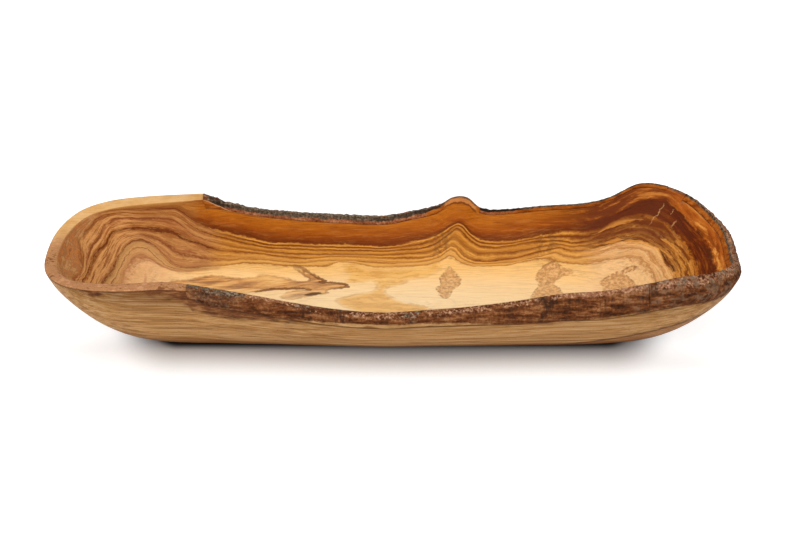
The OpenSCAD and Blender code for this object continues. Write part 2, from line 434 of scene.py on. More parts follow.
class Signal:
    """A node's output socket, with operators that add the nodes for shader maths."""

    def __init__(self, graph: "Graph", socket: bpy.types.NodeSocket) -> None:
        """Keep the graph and the socket."""
        self.graph = graph
        self.socket = socket

    def _two(self, operation: str, a: object, b: object) -> "Signal":
        """Join two values by a Math node, or two vectors by a Vector Math node.

        Args:
            operation: What the node does.
            a: First value.
            b: Second value.

        Returns:
            The result.
        """
        vector = any(isinstance(v, Signal) and v.socket.type == "VECTOR" for v in (a, b))
        kind = "ShaderNodeVectorMath" if vector else "ShaderNodeMath"
        return self.graph.add(kind, {"operation": operation}, {0: a, 1: b})

    def __add__(self, other: object) -> "Signal":
        """Add."""
        return self._two("ADD", self, other)

    __radd__ = __add__

    def __sub__(self, other: object) -> "Signal":
        """Subtract."""
        return self._two("SUBTRACT", self, other)

    def __rsub__(self, other: object) -> "Signal":
        """Subtract this from a number."""
        return self._two("SUBTRACT", other, self)

    def __mul__(self, other: object) -> "Signal":
        """Multiply."""
        return self._two("MULTIPLY", self, other)

    def __truediv__(self, other: object) -> "Signal":
        """Divide."""
        return self._two("DIVIDE", self, other)

    def __pow__(self, other: object) -> "Signal":
        """Raise to a power."""
        return self._two("POWER", self, other)

    def __abs__(self) -> "Signal":
        """Take the size without the sign."""
        return self._two("ABSOLUTE", self, 0.0)

    def low(self, other: object) -> "Signal":
        """Take the lower of two values."""
        return self._two("MINIMUM", self, other)

    def high(self, other: object) -> "Signal":
        """Take the higher of two values."""
        return self._two("MAXIMUM", self, other)

    def step(self, start: float, end: float) -> "Signal":
        """Rise smoothly from 0 to 1.

        Args:
            start: Value at which the result is 0.
            end: Value at which it is 1, which may be the lower one.

        Returns:
            The smooth step.
        """
        settings = {"interpolation_type": "SMOOTHSTEP"}
        flip = start > end
        sockets = {"Value": self, "From Min": min(start, end), "From Max": max(start, end)}
        sockets["To Min"] = 1.0 if flip else 0.0
        sockets["To Max"] = 0.0 if flip else 1.0
        return self.graph.add("ShaderNodeMapRange", settings, sockets)


class Graph:
    """The nodes of one material."""

    def __init__(self, name: str) -> None:
        """Start a material with no nodes.

        Args:
            name: Its name.
        """
        self.material = bpy.data.materials.new(name)
        self.material.use_nodes = True
        self.tree = self.material.node_tree
        self.tree.nodes.clear()

    @classmethod
    def over(cls, tree: bpy.types.NodeTree) -> "Graph":
        """Make a graph over a tree that is already there, such as the world's.

        Args:
            tree: The tree of nodes.

        Returns:
            The graph.
        """
        graph = cls.__new__(cls)
        graph.tree = tree
        return graph

    def node(self, kind: str, settings: dict, sockets: dict) -> bpy.types.Node:
        """Add a node, set it up and feed its sockets.

        Args:
            kind: Type of the node.
            settings: Its settings, set first. "stops" fills a ramp.
            sockets: Values or links, by the socket's name, identifier or number.

        Returns:
            The node.
        """
        node = self.tree.nodes.new(kind)
        for name, value in settings.items():
            if name == "stops":
                self._fill_ramp(node, value)
            else:
                setattr(node, name, value)
        for name, value in sockets.items():
            socket = self._input(node, name)
            if isinstance(value, Signal):
                self.tree.links.new(value.socket, socket)
            else:
                socket.default_value = value
        return node

    def add(self, kind: str, settings: dict, sockets: dict, output: str = "") -> Signal:
        """Add a node and return one of its outputs.

        Args:
            kind: Type of the node.
            settings: Its settings.
            sockets: Values or links of its sockets.
            output: Name or identifier of the output, or nothing for the first one in use.

        Returns:
            The output.
        """
        node = self.node(kind, settings, sockets)
        for socket in node.outputs:
            if socket.enabled and output in ("", socket.name, socket.identifier):
                return Signal(self, socket)
        raise KeyError(f"{kind} has no output {output}")

    @staticmethod
    def _input(node: bpy.types.Node, name: object) -> bpy.types.NodeSocket:
        """Find an input of a node, passing over those not in use.

        Args:
            node: The node.
            name: The input's number, identifier or name.

        Returns:
            The input.
        """
        if isinstance(name, int):
            return node.inputs[name]
        for socket in node.inputs:
            if socket.enabled and name in (socket.identifier, socket.name):
                return socket
        raise KeyError(f"{node.bl_idname} has no input {name}")

    @staticmethod
    def _fill_ramp(node: bpy.types.Node, stops: Sequence[tuple[float, Colour]]) -> None:
        """Fill a ramp.

        Args:
            node: The ramp's node.
            stops: Places and colours.
        """
        ramp = node.color_ramp
        while len(ramp.elements) < len(stops):
            ramp.elements.new(1.0)
        for element, (place, colour) in zip(ramp.elements, stops):
            element.position = place
            element.color = colour

    def blend(self, share: object, a: object, b: object, kind: str = "MIX") -> Signal:
        """Blend two colours.

        Args:
            share: Share of the second colour.
            a: First colour.
            b: Second colour.
            kind: Way of blending.

        Returns:
            The blended colour.
        """
        settings = {"data_type": "RGBA", "blend_type": kind}
        sockets = {"Factor_Float": share, "A_Color": a, "B_Color": b}
        return self.add("ShaderNodeMix", settings, sockets, "Result_Color")

    def ramp(self, value: Signal, stops: Sequence[tuple[float, str]], top: float) -> Signal:
        """Colour a value by stops, where top is the value at the ramp's end."""
        places = [(place / top, tint(code)) for place, code in stops]
        return self.add("ShaderNodeValToRGB", {"stops": places}, {"Fac": value / top}, "Color")

    def noise(self, place: object, scale: float, detail: float = 2.0, rough: float = 0.5) -> Signal:
        """Read noise from 0 to 1, with layers of finer bumps that are as strong as rough says."""
        sockets = {"Vector": place, "Scale": scale, "Detail": detail, "Roughness": rough}
        return self.add("ShaderNodeTexNoise", {}, sockets, "Fac")

    def mark(self, name: str) -> Signal:
        """Read a value kept on the mesh's points."""
        return self.add("ShaderNodeAttribute", {"attribute_name": name}, {}, "Fac")

    def place(self) -> Signal:
        """Return the place on the object, in millimetres."""
        metres = self.add("ShaderNodeTexCoord", {}, {}, "Object")
        return metres * (1 / MM, 1 / MM, 1 / MM)

    def axes(self, place: Signal) -> tuple[Signal, Signal, Signal]:
        """Split a vector into its three values."""
        node = self.node("ShaderNodeSeparateXYZ", {}, {0: place})
        return tuple(Signal(self, socket) for socket in node.outputs)

    def vector(self, x: object, y: object, z: object) -> Signal:
        """Join three values into a vector."""
        return self.add("ShaderNodeCombineXYZ", {}, {"X": x, "Y": y, "Z": z})

    def surface(self, sockets: dict, height: Signal, depth: float) -> bpy.types.Material:
        """Finish the material with the main shader and a bump.

        Args:
            sockets: Values or links of the main shader's sockets.
            height: Height of the fine relief, from 0 to 1.
            depth: Its full depth, in metres.

        Returns:
            The material.
        """
        bump = self.add("ShaderNodeBump", {}, {"Strength": 1.0, "Distance": depth, "Height": height})
        shader = self.add("ShaderNodeBsdfPrincipled", {}, {**sockets, "Normal": bump})
        self.node("ShaderNodeOutputMaterial", {}, {"Surface": shader})
        return self.material


class Paint:
    """A colour that is built up in layers."""

    def __init__(self, g: Graph, colour: Signal) -> None:
        """Start from the lowest layer."""
        self.g = g
        self.colour = colour

    def over(self, share: Signal, layer: Signal | Colour, kind: str = "MIX") -> None:
        """Lay a share of a layer over the colour so far, blended in the way that kind names."""
        self.colour = self.g.blend(share, self.colour, layer, kind)


@dataclass(frozen=True)
class RingLine:
    """A growth ring that the photo shows along the hollow.

    Attributes:
        age: Its depth under the bark, in millimetres, on an even stretch of the log.
        route: Rows of the rim, and how far below the rim the ring is there, in hundredths of the
            hollow's wall.
    """

    age: float
    route: tuple[tuple[float, float], ...]


RINGS = (
    RingLine(11, (
        (0, 31), (1.2, 30), (2.2, 28), (3.1, 22), (3.7, 17), (4.3, 20), (4.9, 29), (5.5, 35), (6.7, 30),
        (7.4, 28), (8.1, 33), (8.9, 36), (9.8, 35), (10.4, 35), (11, 33), (11.3, 32.5), (11.7, 34),
        (12.2, 37), (13.1, 38), (14.4, 36), (15.9, 37), (17.2, 38), (18.2, 35), (19.2, 28), (19.8, 20),
        (20.1, 6), (20.4, 5), (21.5, 3), (22.5, 0), (25, 0), (27, 2), (29, 4), (31, 20), (33, 34), (36, 38),
        (39, 36), (42, 38), (44, 34), (46, 31),
    )),
    RingLine(16, (
        (0, 45), (1.2, 42), (2.3, 38), (3.1, 34), (3.8, 34), (4.5, 36), (5, 40), (5.4, 45), (5.8, 44),
        (6.7, 42), (7.1, 41), (7.7, 43), (8.4, 48), (9.1, 46), (9.6, 45), (10.3, 41), (10.9, 37.5),
        (11.3, 36.5), (11.7, 39), (12.2, 42.5), (13, 45), (14.4, 49.5), (15.5, 49.5), (17, 48), (18.1, 47),
        (18.9, 43), (19.6, 36), (19.95, 27), (20.05, 14), (20.2, 9.5), (20.7, 9), (21.3, 7), (21.9, 3),
        (22.6, 2), (23.4, 3.5), (24.2, 2), (25, 3), (27, 5), (29, 9), (31, 30), (33, 44), (36, 48), (39, 46),
        (42, 48), (44, 46), (46, 45),
    )),
    RingLine(21, (
        (0, 50), (1, 49), (1.9, 46), (3.5, 44), (4.2, 46), (4.8, 52), (5.3, 54), (6.1, 52), (6.9, 48),
        (7.7, 46.5), (8.3, 50), (8.8, 53), (9.5, 50.5), (10.2, 46), (10.9, 42), (11.35, 41), (11.8, 45),
        (12.5, 51), (13.5, 54), (15, 54.5), (16.8, 53.5), (18.2, 52), (19, 48), (19.6, 42), (20, 36),
        (20.12, 26), (20.2, 15), (20.6, 13), (21.1, 12), (21.6, 9.5), (22.2, 7), (22.7, 8.5), (23.1, 13),
        (23.6, 17), (23.9, 20), (24.2, 29), (24.6, 36), (24.9, 38), (26, 28), (28, 14), (29, 14), (31, 38),
        (33, 51), (36, 54), (39, 52), (42, 54), (46, 50),
    )),
    RingLine(25.5, (
        (0, 55), (2, 50), (3.6, 48), (4.8, 57), (6, 55), (7.1, 50.5), (8.2, 58), (9.2, 59), (10.3, 54),
        (11, 50), (11.4, 48), (12, 55), (13, 59), (15, 59.5), (17, 59), (18.4, 57), (19.2, 53), (19.9, 45),
        (20.2, 41), (20.3, 31), (20.36, 22), (20.7, 20), (21.1, 18), (21.5, 15.5), (22.1, 13.5), (22.5, 18),
        (22.9, 24), (23.2, 29), (23.7, 33), (24.2, 37), (24.8, 39.5), (26, 30), (28, 20), (29, 20), (31, 44),
        (33, 57), (36, 60), (40, 58), (43, 58), (46, 55),
    )),
    RingLine(30, (
        (0, 60), (1.3, 58), (1.9, 56), (2.5, 51), (3.2, 51.5), (3.9, 54), (4.4, 59), (4.8, 62), (5.4, 61),
        (6, 58), (6.7, 54), (7.5, 59), (8.1, 65.5), (8.8, 69), (9.5, 67), (10.2, 63), (10.9, 58),
        (11.35, 56), (11.8, 60), (12.4, 64), (13.4, 65), (14.4, 64), (15.5, 62), (16.6, 61), (17.2, 64),
        (17.8, 62.5), (18.5, 59), (19.2, 57), (19.9, 54), (20.2, 49.5), (20.45, 45), (20.58, 40),
        (20.64, 35.5), (20.9, 32.5), (21.4, 31.5), (21.7, 29.5), (22.1, 30), (22.5, 29), (22.8, 31),
        (23.1, 35), (23.4, 38), (24, 39.5), (24.8, 41), (26, 36), (28, 30), (30, 44), (32, 60), (34, 63),
        (37, 62), (40, 64), (43, 60), (46, 60),
    )),
    RingLine(34, (
        (0, 66), (2, 60), (3, 56), (4.3, 65), (5.2, 67), (6.7, 59), (7.8, 68), (9, 72), (10.3, 66),
        (11, 61), (11.4, 59), (12.1, 67), (13.4, 70), (15, 70), (16.5, 66), (17.5, 69), (18.8, 65),
        (19.8, 65), (20.4, 63), (20.7, 60), (20.95, 55), (21.15, 50), (21.25, 43), (21.4, 39), (21.7, 36.5),
        (22.1, 35.5), (22.5, 37), (22.9, 39.5), (23.3, 42.5), (23.7, 46), (24.1, 48), (24.8, 48), (27, 42),
        (29, 50), (32, 66), (36, 68), (40, 70), (43, 66), (46, 66),
    )),
    RingLine(38, (
        (0, 72), (1.2, 68), (2, 61), (2.6, 59), (3.1, 62), (3.5, 69), (4.1, 72.5), (5, 73), (5.8, 69),
        (6.8, 64), (7.5, 65), (8, 73), (8.8, 74.5), (9.5, 73), (10.2, 70), (10.9, 66), (11.35, 65),
        (11.9, 70), (13, 74), (14.4, 76), (15.4, 76), (16, 68), (16.4, 67), (16.9, 75), (17.6, 72.5),
        (18.5, 70), (19.5, 68), (20.5, 71), (21.1, 71), (21.3, 69), (21.42, 64), (21.5, 55), (21.58, 47),
        (21.7, 42.5), (21.95, 40), (22.3, 41), (22.8, 44), (23.2, 48), (23.6, 52), (23.9, 55), (24.3, 56),
        (24.8, 54), (26, 51), (28, 53), (31, 70), (34, 76), (38, 72), (42, 74), (46, 72),
    )),
    RingLine(42, (
        (0, 82), (3, 78), (7, 78), (12, 82), (17, 83), (19, 80), (20, 74), (20.8, 73.5), (21.3, 72),
        (21.5, 68.5), (21.7, 63), (21.8, 56), (21.95, 50), (22.2, 47), (22.6, 47), (23, 50), (23.4, 53),
        (23.8, 56), (24.3, 58), (24.8, 58), (27, 60), (31, 82), (38, 84), (46, 82),
    )),
    RingLine(45, (
        (0, 90), (7, 88), (12, 90), (17, 90), (19, 86), (20, 77), (20.8, 76.5), (21.4, 75), (21.75, 71),
        (21.9, 64), (22.05, 58), (22.3, 53), (22.7, 52.5), (23, 54), (23.5, 57), (24, 60), (24.5, 63),
        (27, 70), (31, 90), (46, 90),
    )),
)
# Ages of the wood where the floor starts and in the middle of the floor
FLOOR_AGE = 52.0
CORE_AGE = 66.0
ROWS = len(RIM_SHARES)
# The least distance between two rings, as a share of the hollow's wall
RING_GAP = 0.012
# Depths between which the rings of the left end lean over, and how far, in rows of the rim
LEAN_DEPTHS = (0.43, 0.70)
LEAN_ROWS = 0.75
LEAN_ZONE = ((20.7, 21.4, 22.4, 23.6), (0, 1, 1, 0))
# Steps between two rows when a route is smoothed, and how often it is
ROUTE_STEPS = 20
ROUTE_ROUNDS = 3


def ring_age(way: np.ndarray, depth: np.ndarray) -> np.ndarray:
    """Work out how deep under the bark the wood is, from the rings that the hollow shows.

    Args:
        way: Shares of the way round the rim.
        depth: Depth below the rim, 1 for the whole wall and 2 for the middle of the floor.

    Returns:
        The age of the wood at each point.
    """
    row = (way % 1) * ROWS
    # The rings of the left end lean over as they go down beside its arch
    lean = np.clip((depth - LEAN_DEPTHS[0]) / (LEAN_DEPTHS[1] - LEAN_DEPTHS[0]), 0, 1)
    lean = lean * lean * (3 - 2 * lean)
    row = row - LEAN_ROWS * lean * np.interp(row, *LEAN_ZONE)
    below, age = np.zeros_like(row), np.zeros_like(row)
    base = 0.0
    steps = [(ring.age, smooth_route(ring.route, row) / 100) for ring in RINGS]
    steps += [(FLOOR_AGE, np.ones_like(row)), (CORE_AGE, np.full_like(row, 2.0))]
    for ring, at in steps:
        at = np.maximum(at, below + RING_GAP)
        age += np.clip((depth - below) / (at - below), 0, 1) * (ring - base)
        below, base = at, ring
    return age


def smooth_route(route: Sequence[tuple[float, float]], row: np.ndarray) -> np.ndarray:
    """Read a route smoothly at any row of the rim.

    Args:
        route: Rows and values, from row 0 to the last one.
        row: The rows to read.

    Returns:
        The values.
    """
    fine = np.linspace(0, ROWS, ROWS * ROUTE_STEPS + 1)
    rows, values = np.array(route, float).T
    straight = np.interp(fine, rows, values)
    soft = np.array([0.25, 0.5, 0.25])
    for _ in range(ROUTE_ROUNDS):
        straight[1:-1] = np.convolve(straight, soft, "valid")
    return np.interp(row, fine, straight)


# Points that round each corner of a figure's outline
CORNER_POINTS = 4


@dataclass(frozen=True)
class Figure:
    """A closed figure in the wood of the hollow, seen from above.

    Attributes:
        outline: Places along and across the bowl, in millimetres, and how dark the edge is there.
    """

    outline: tuple[tuple[float, float, float], ...]

    def corners(self) -> np.ndarray:
        """Round the outline between the points given.

        Returns:
            Its points, with the darkness of the edge at each.
        """
        given = np.array(self.outline, float)
        t = np.linspace(0, 1, CORNER_POINTS, endpoint=False)[:, None]
        around = [np.roll(given, k, 0) for k in (1, 0, -1, -2)]
        return np.concatenate([spline(*(part[k] for part in around), t) for k in range(len(given))])

    def reach(self, plan: np.ndarray) -> tuple[np.ndarray, np.ndarray]:
        """Measure how far points are outside the figure.

        Args:
            plan: Points along and across the bowl, in millimetres.

        Returns:
            Distance to the outline, below 0 inside it, and the darkness of the nearest edge.
        """
        points = self.corners()
        best = np.full(len(plan), np.inf)
        dark = np.zeros(len(plan))
        inside = np.zeros(len(plan), bool)
        for a, b in zip(points, np.roll(points, -1, 0)):
            side, way = plan - a[:2], b[:2] - a[:2]
            t = np.clip(side @ way / max(way @ way, 1e-9), 0, 1)
            away = np.linalg.norm(side - t[:, None] * way, axis=1)
            near = away < best
            best[near] = away[near]
            dark[near] = mix(a[2], b[2], t[near])
            crosses = (a[1] > plan[:, 1]) != (b[1] > plan[:, 1])
            if abs(way[1]) > 0:
                inside ^= crosses & (plan[:, 0] < a[0] + way[0] * (plan[:, 1] - a[1]) / way[1])
        return np.where(inside, -best, best), dark


class Figures(Enum):
    """Groups of figures that look alike."""

    TAN = "tan"
    GOLD = "gold"
    KNOT = "knot"


FIGURES = {
    Figures.TAN: (
        Figure((
            (-144, -30, 0), (-137, 6, 0), (-131, 20, 0.1), (-122, 23, 0.2), (-114, 26, 0.3),
            (-105, 28, 0.3), (-96, 27, 0.35), (-84, 27, 0.2), (-77, 30, 0.2), (-69, 29, 0.3),
            (-63, 27.5, 0.4), (-57, 25.5, 0.4), (-51, 25, 0.5), (-49.5, 27.5, 0.6), (-54, 32, 0.6),
            (-59, 36.5, 0.5), (-56, 37.5, 0.7), (-50, 34, 0.8), (-44, 29, 0.9), (-39, 26, 1),
            (-42, 24.5, 1), (-38, 24.3, 0.9), (-34, 24, 0.9), (-29, 23, 1), (-26, 20, 1.2), (-29, 18, 1.1),
            (-36, 16.5, 0.6), (-38, 14, 0.5), (-38, 12, 0.6), (-44, 9.5, 0.5), (-51, 7, 0.4), (-60, 4, 0.4),
            (-66, 7, 0.1), (-60, 14, 0.1), (-49, 15.6, 0.8), (-56, 16.6, 1.3), (-67, 16, 1.4),
            (-73, 15, 1.3), (-79, 12.6, 1.3), (-84, 11, 0.2), (-93, -2, 0), (-104, -30, 0),
        )),
    ),
    Figures.GOLD: (
        Figure((
            (-28, 24, 0.1), (-26, 31, 0.1), (-29, 37, 0.3), (-24, 41, 0.2), (-15, 37, 0.2), (-2, 36.5, 0.3),
            (19, 37, 0.2), (25, 40, 0.3), (29, 37, 0.3), (26, 33, 0.2), (19, 29, 0.5), (11, 27, 0.6),
            (4, 21, 0.7), (-3, 18, 0.7), (-4, 13, 0.5), (1, 6, 0.9), (7, 1, 1), (13, -1, 0.9),
            (22, -7, 0.7), (14, -14, 0), (-8, -16, 0), (-24, -8, 0.2), (-33, 3, 0.5), (-25, 8.5, 0.8),
            (-18, 12, 0.6), (-12, 14, 0.4), (-9, 19, 0.5), (-12, 25, 0.3), (-20, 23, 0),
        )),
    ),
    Figures.KNOT: (
        Figure((
            (34, 37, 0.5), (36, 34, 0.5), (38, 32, 0.6), (40, 27.5, 0.6), (39.5, 22, 0.7), (36.5, 18, 0.5),
            (34.5, 13, 0.7), (33.5, 9, 0.6), (31, 5.5, 0.9), (28.5, 8, 0.9), (27, 12, 0.8), (26, 18, 0.8),
            (28.5, 22, 0.6), (28, 28, 0.9), (30, 32, 0.6), (32, 34.5, 0.5),
        )),
        Figure((
            (84, -7, 0.4), (81, -2, 0.4), (81, 5, 0.5), (82.5, 12, 0.6), (85, 17, 0.6), (86, 23, 0.5),
            (84.5, 27, 0.5), (86, 32, 0.6), (89, 35, 0.7), (93, 37.5, 0.8), (97, 37.5, 0.8),
            (99.5, 34.5, 0.7), (103, 32.5, 0.5), (107, 31, 0.4), (105.5, 29, 0.3), (101, 27.5, 0.3),
            (96.5, 24.5, 0.5), (95, 20.5, 0.5), (97.5, 17, 0.7), (99, 12, 0.6), (100, 2, 0.4),
            (97, -6, 0.4), (91, -9, 0.4),
        )),
        Figure((
            (126, -4, 0.3), (122.5, 1, 0.3), (122, 8, 0.3), (123.5, 14, 0.3), (123, 18, 0.5),
            (122, 20.5, 0.5), (125, 23.5, 0.8), (128, 25, 0.8), (131, 26.3, 0.9), (134.5, 26.6, 0.9),
            (137.5, 24, 0.7), (139.5, 20, 0.7), (142, 15, 0.8), (144, 6, 0.4), (141, -2, 0.4),
            (134, -6, 0.3),
        )),
        Figure(((136, 25.5, 0.9), (138.5, 28.5, 0.9), (141, 29, 1), (143.5, 27.5, 0.9), (141, 26, 0.9))),
    ),
}
EYE = Figure(((-52, 9.4, 1), (-48, 12.2, 1), (-43, 13, 1), (-41.5, 11.6, 1), (-45, 9.6, 1), (-49, 8.6, 1)))


@dataclass(frozen=True)
class WoodTints:
    """Single colours that the layers of the wood are painted with."""

    # Lines, threads and figure between the rings
    ring_line: Colour = tint("6E360C")
    ring_light: Colour = tint("F0B868")
    thread: Colour = tint("6A3410")
    mottle: Colour = tint("8C4610")
    figure_dark: Colour = tint("7A3C14")
    figure_light: Colour = tint("D69C58")
    wall_dark: Colour = tint("7E3A08")
    wall_light: Colour = tint("CC7C2A")
    left_gold: Colour = tint("DEA060")
    # The right end, from the heart of the log outwards, with painted shade high and low on its back wall
    streak: Colour = tint("E8A04A")
    shade_under_bark: Colour = tint("6A3008")
    shadow: Colour = tint("642A0A")
    scratch: Colour = tint("E2B070")
    patch_dark: Colour = tint("6E3008")
    patch_light: Colour = tint("DC9440")
    # Knots and figures of the hollow
    root: Colour = tint("74461C")
    tan_edge: Colour = tint("6E3A1C")
    gold_edge: Colour = tint("B67C34")
    knot_edge: Colour = tint("8C5628")
    split: Colour = tint("B4684A")
    eye: Colour = tint("45281A")
    # The outside
    level_dark: Colour = tint("7E5028")
    level_light: Colour = tint("DDB584")
    thin_dark: Colour = tint("74502E")
    thin_light: Colour = tint("DCC092")
    freckle: Colour = tint("5E3C22")
    blot: Colour = tint("96683A")
    under_seam: Colour = tint("94592B")
    seam: Colour = tint("5A341C")
    foot: Colour = tint("74421C")
    # The bare rim
    rim_line: Colour = tint("5A3420")
    worn_lip: Colour = tint("D08C50")
    lip_line: Colour = tint("6A3410")
    crest: Colour = tint("523422")
    # Fibres and pores
    fibre: Colour = tint("A06838")
    pore: Colour = tint("6A3E18")


@dataclass(frozen=True)
class OliveWood:
    """Oiled olive wood whose rings follow the log's outer surface.

    Attributes:
        name: Name of the material.
        tints: The colours of its lines, streaks and edges.
        middle_stops: Colours of the rings along the bowl, by their depth under the bark.
        left_stops: Colours of the rings in the left end.
        right_stops: Colours of the rings in the right end.
        faded_stops: Colours where the rings fade.
        tip_stops: Colours of the left tip.
        ember_stops: Colours outside the heart.
        heart_stops: Colours of the heart.
        tan_stops: Colours of the brown figure.
        gold_stops: Colours of the golden figure.
        knot_stops: Colours of the round knots.
        outer_stops: Colours of the outside, by the same depth.
        stain_stops: Colours of the bark's stain on the outside.
        sawn_stops: Colours of the sawn rim.
        worn_stops: Colours of the rubbed rim.
        knot_rim_stops: Colours of the bare rim at the back knot.
        grey_rim_stops: Colours of the weathered rim.
        scratches: Place along, farthest and nearest distance below the lip, and width of each scratch.
        roughness: Roughness of the dry outside.
        shine: Specular level.
        relief_depth: Depth of the finest relief.
    """

    name: str = "olive_wood"
    tints: WoodTints = WoodTints()
    middle_stops: Stops = (
        (0, "8A4410"), (2, "A65C12"), (5, "BA6A14"), (8, "B0600E"), (10.5, "A45308"), (12.6, "8A4002"),
        (14.8, "6A2A00"), (15.4, "743404"), (16.2, "E8A042"), (16.9, "CC8630"), (17.6, "6C3004"),
        (18.8, "8E4C0E"), (19.6, "DC963A"), (20.4, "C47E28"), (21, "6C3205"), (21.9, "9C5816"),
        (22.8, "DC983C"), (24.4, "BC7424"), (25.3, "7A400F"), (26.3, "A8641C"), (27.4, "E2A046"),
        (29, "B8722A"), (29.8, "68300A"), (30.7, "C8822C"), (31.6, "EAA84E"), (34.1, "A4642A"),
        (35, "E8AC54"), (37, "DC9E4E"), (37.9, "A0622A"), (38.8, "F4BE70"), (46, "FECE8A"), (66, "FFE2B2"),
    )
    left_stops: Stops = (
        (0, "BC8648"), (8, "B07A3C"), (14.4, "9A5C28"), (15.6, "662A08"), (16.2, "8C4C1E"),
        (18.4, "BE824A"), (20.4, "AC6A30"), (20.9, "5E2606"), (21.4, "A4622C"), (24, "C4884E"),
        (25.3, "A86838"), (25.7, "743814"), (26.2, "B87642"), (29, "B07038"), (29.6, "7C3E10"),
        (30, "542004"), (30.5, "A0602C"), (32.6, "C0844A"), (33.8, "A8683A"), (34.2, "804420"),
        (34.8, "C0844C"), (37.4, "B07444"), (38, "642C0E"), (38.5, "BC8850"), (41.4, "CC985E"),
        (42, "8C5028"), (42.5, "D09C62"), (45, "B4784A"), (46, "EAB47C"), (50, "F8C88E"), (60, "FDD29A"),
        (66, "FFDAA8"),
    )
    right_stops: Stops = (
        (0, "A0602A"), (2.5, "B4661C"), (5, "9C4E0E"), (7.6, "92450A"), (8.8, "C47220"), (9.6, "AE5A0C"),
        (10.6, "6A2A02"), (12.5, "541E00"), (15, "622600"), (16, "B86C1C"), (17, "8A480A"),
        (18.2, "6A2E02"), (19.6, "C07C2A"), (20.6, "6E3006"), (22, "A8641E"), (23.4, "D0903C"),
        (24.6, "662C04"), (26, "B0702C"), (27.2, "5E2C0A"), (28, "4A2008"), (28.6, "D08A44"),
        (29.4, "E4AC68"), (31, "E8B272"), (32.6, "C08248"), (33.4, "EAB87A"), (36, "DEA66A"),
        (37.4, "B8804A"), (38.4, "F0C084"), (44, "F6C88E"), (52, "FBD09C"), (66, "FEDCAA"),
    )
    faded_stops: Stops = ((15, "9C5414"), (22, "AC6A20"), (30, "CC883A"), (40, "E8AE60"))
    tip_stops: Stops = (
        (0.38, "DAA468"), (0.47, "C28C56"), (0.51, "A66E42"), (0.56, "CC8244"), (0.63, "946038"),
    )
    ember_stops: Stops = ((0.34, "7A340A"), (0.46, "A45010"), (0.54, "B8641C"), (0.66, "D48A3C"))
    heart_stops: Stops = ((0.38, "401400"), (0.5, "561E00"), (0.58, "702E04"), (0.68, "94500F"))
    tan_stops: Stops = ((0.36, "F2C07A"), (0.45, "E2A45C"), (0.53, "C08248"), (0.6, "8E5832"))
    gold_stops: Stops = ((0.36, "F6C26E"), (0.47, "E9AE58"), (0.52, "D2923E"), (0.6, "EDB45E"))
    knot_stops: Stops = ((0.38, "E6B67C"), (0.5, "D0965A"), (0.58, "AA7242"))
    outer_stops: Stops = (
        (0, "86582E"), (8, "B0804A"), (16, "C8955C"), (24, "B8854E"), (30, "CB9A62"), (38, "C08E56"),
        (46, "B37E46"), (54, "A8703C"), (66, "955E2E"),
    )
    stain_stops: Stops = ((0.36, "3E2014"), (0.48, "683A20"), (0.56, "84512E"), (0.66, "A8744A"))
    sawn_stops: Stops = ((0.3, "E8BB82"), (0.5, "E0AE70"), (0.68, "D29C5C"))
    worn_stops: Stops = ((0.38, "D29A6C"), (0.47, "B07850"), (0.52, "C28C5C"), (0.6, "84502F"))
    knot_rim_stops: Stops = ((0.36, "D89C58"), (0.5, "C07E40"), (0.64, "8A5228"))
    grey_rim_stops: Stops = ((0.36, "A8886A"), (0.48, "7C5E48"), (0.6, "4A3426"))
    scratches: tuple[tuple[float, float, float, float], ...] = (
        (160.0, 28.0, 12.0, 0.42),
        (166.5, 18.0, 13.0, 0.34),
    )
    roughness: float = 0.56
    shine: float = 0.06
    relief_depth: float = 0.12 * MM

    def material(self) -> bpy.types.Material:
        """Build the wood's material."""
        return WoodPainter(self).material()


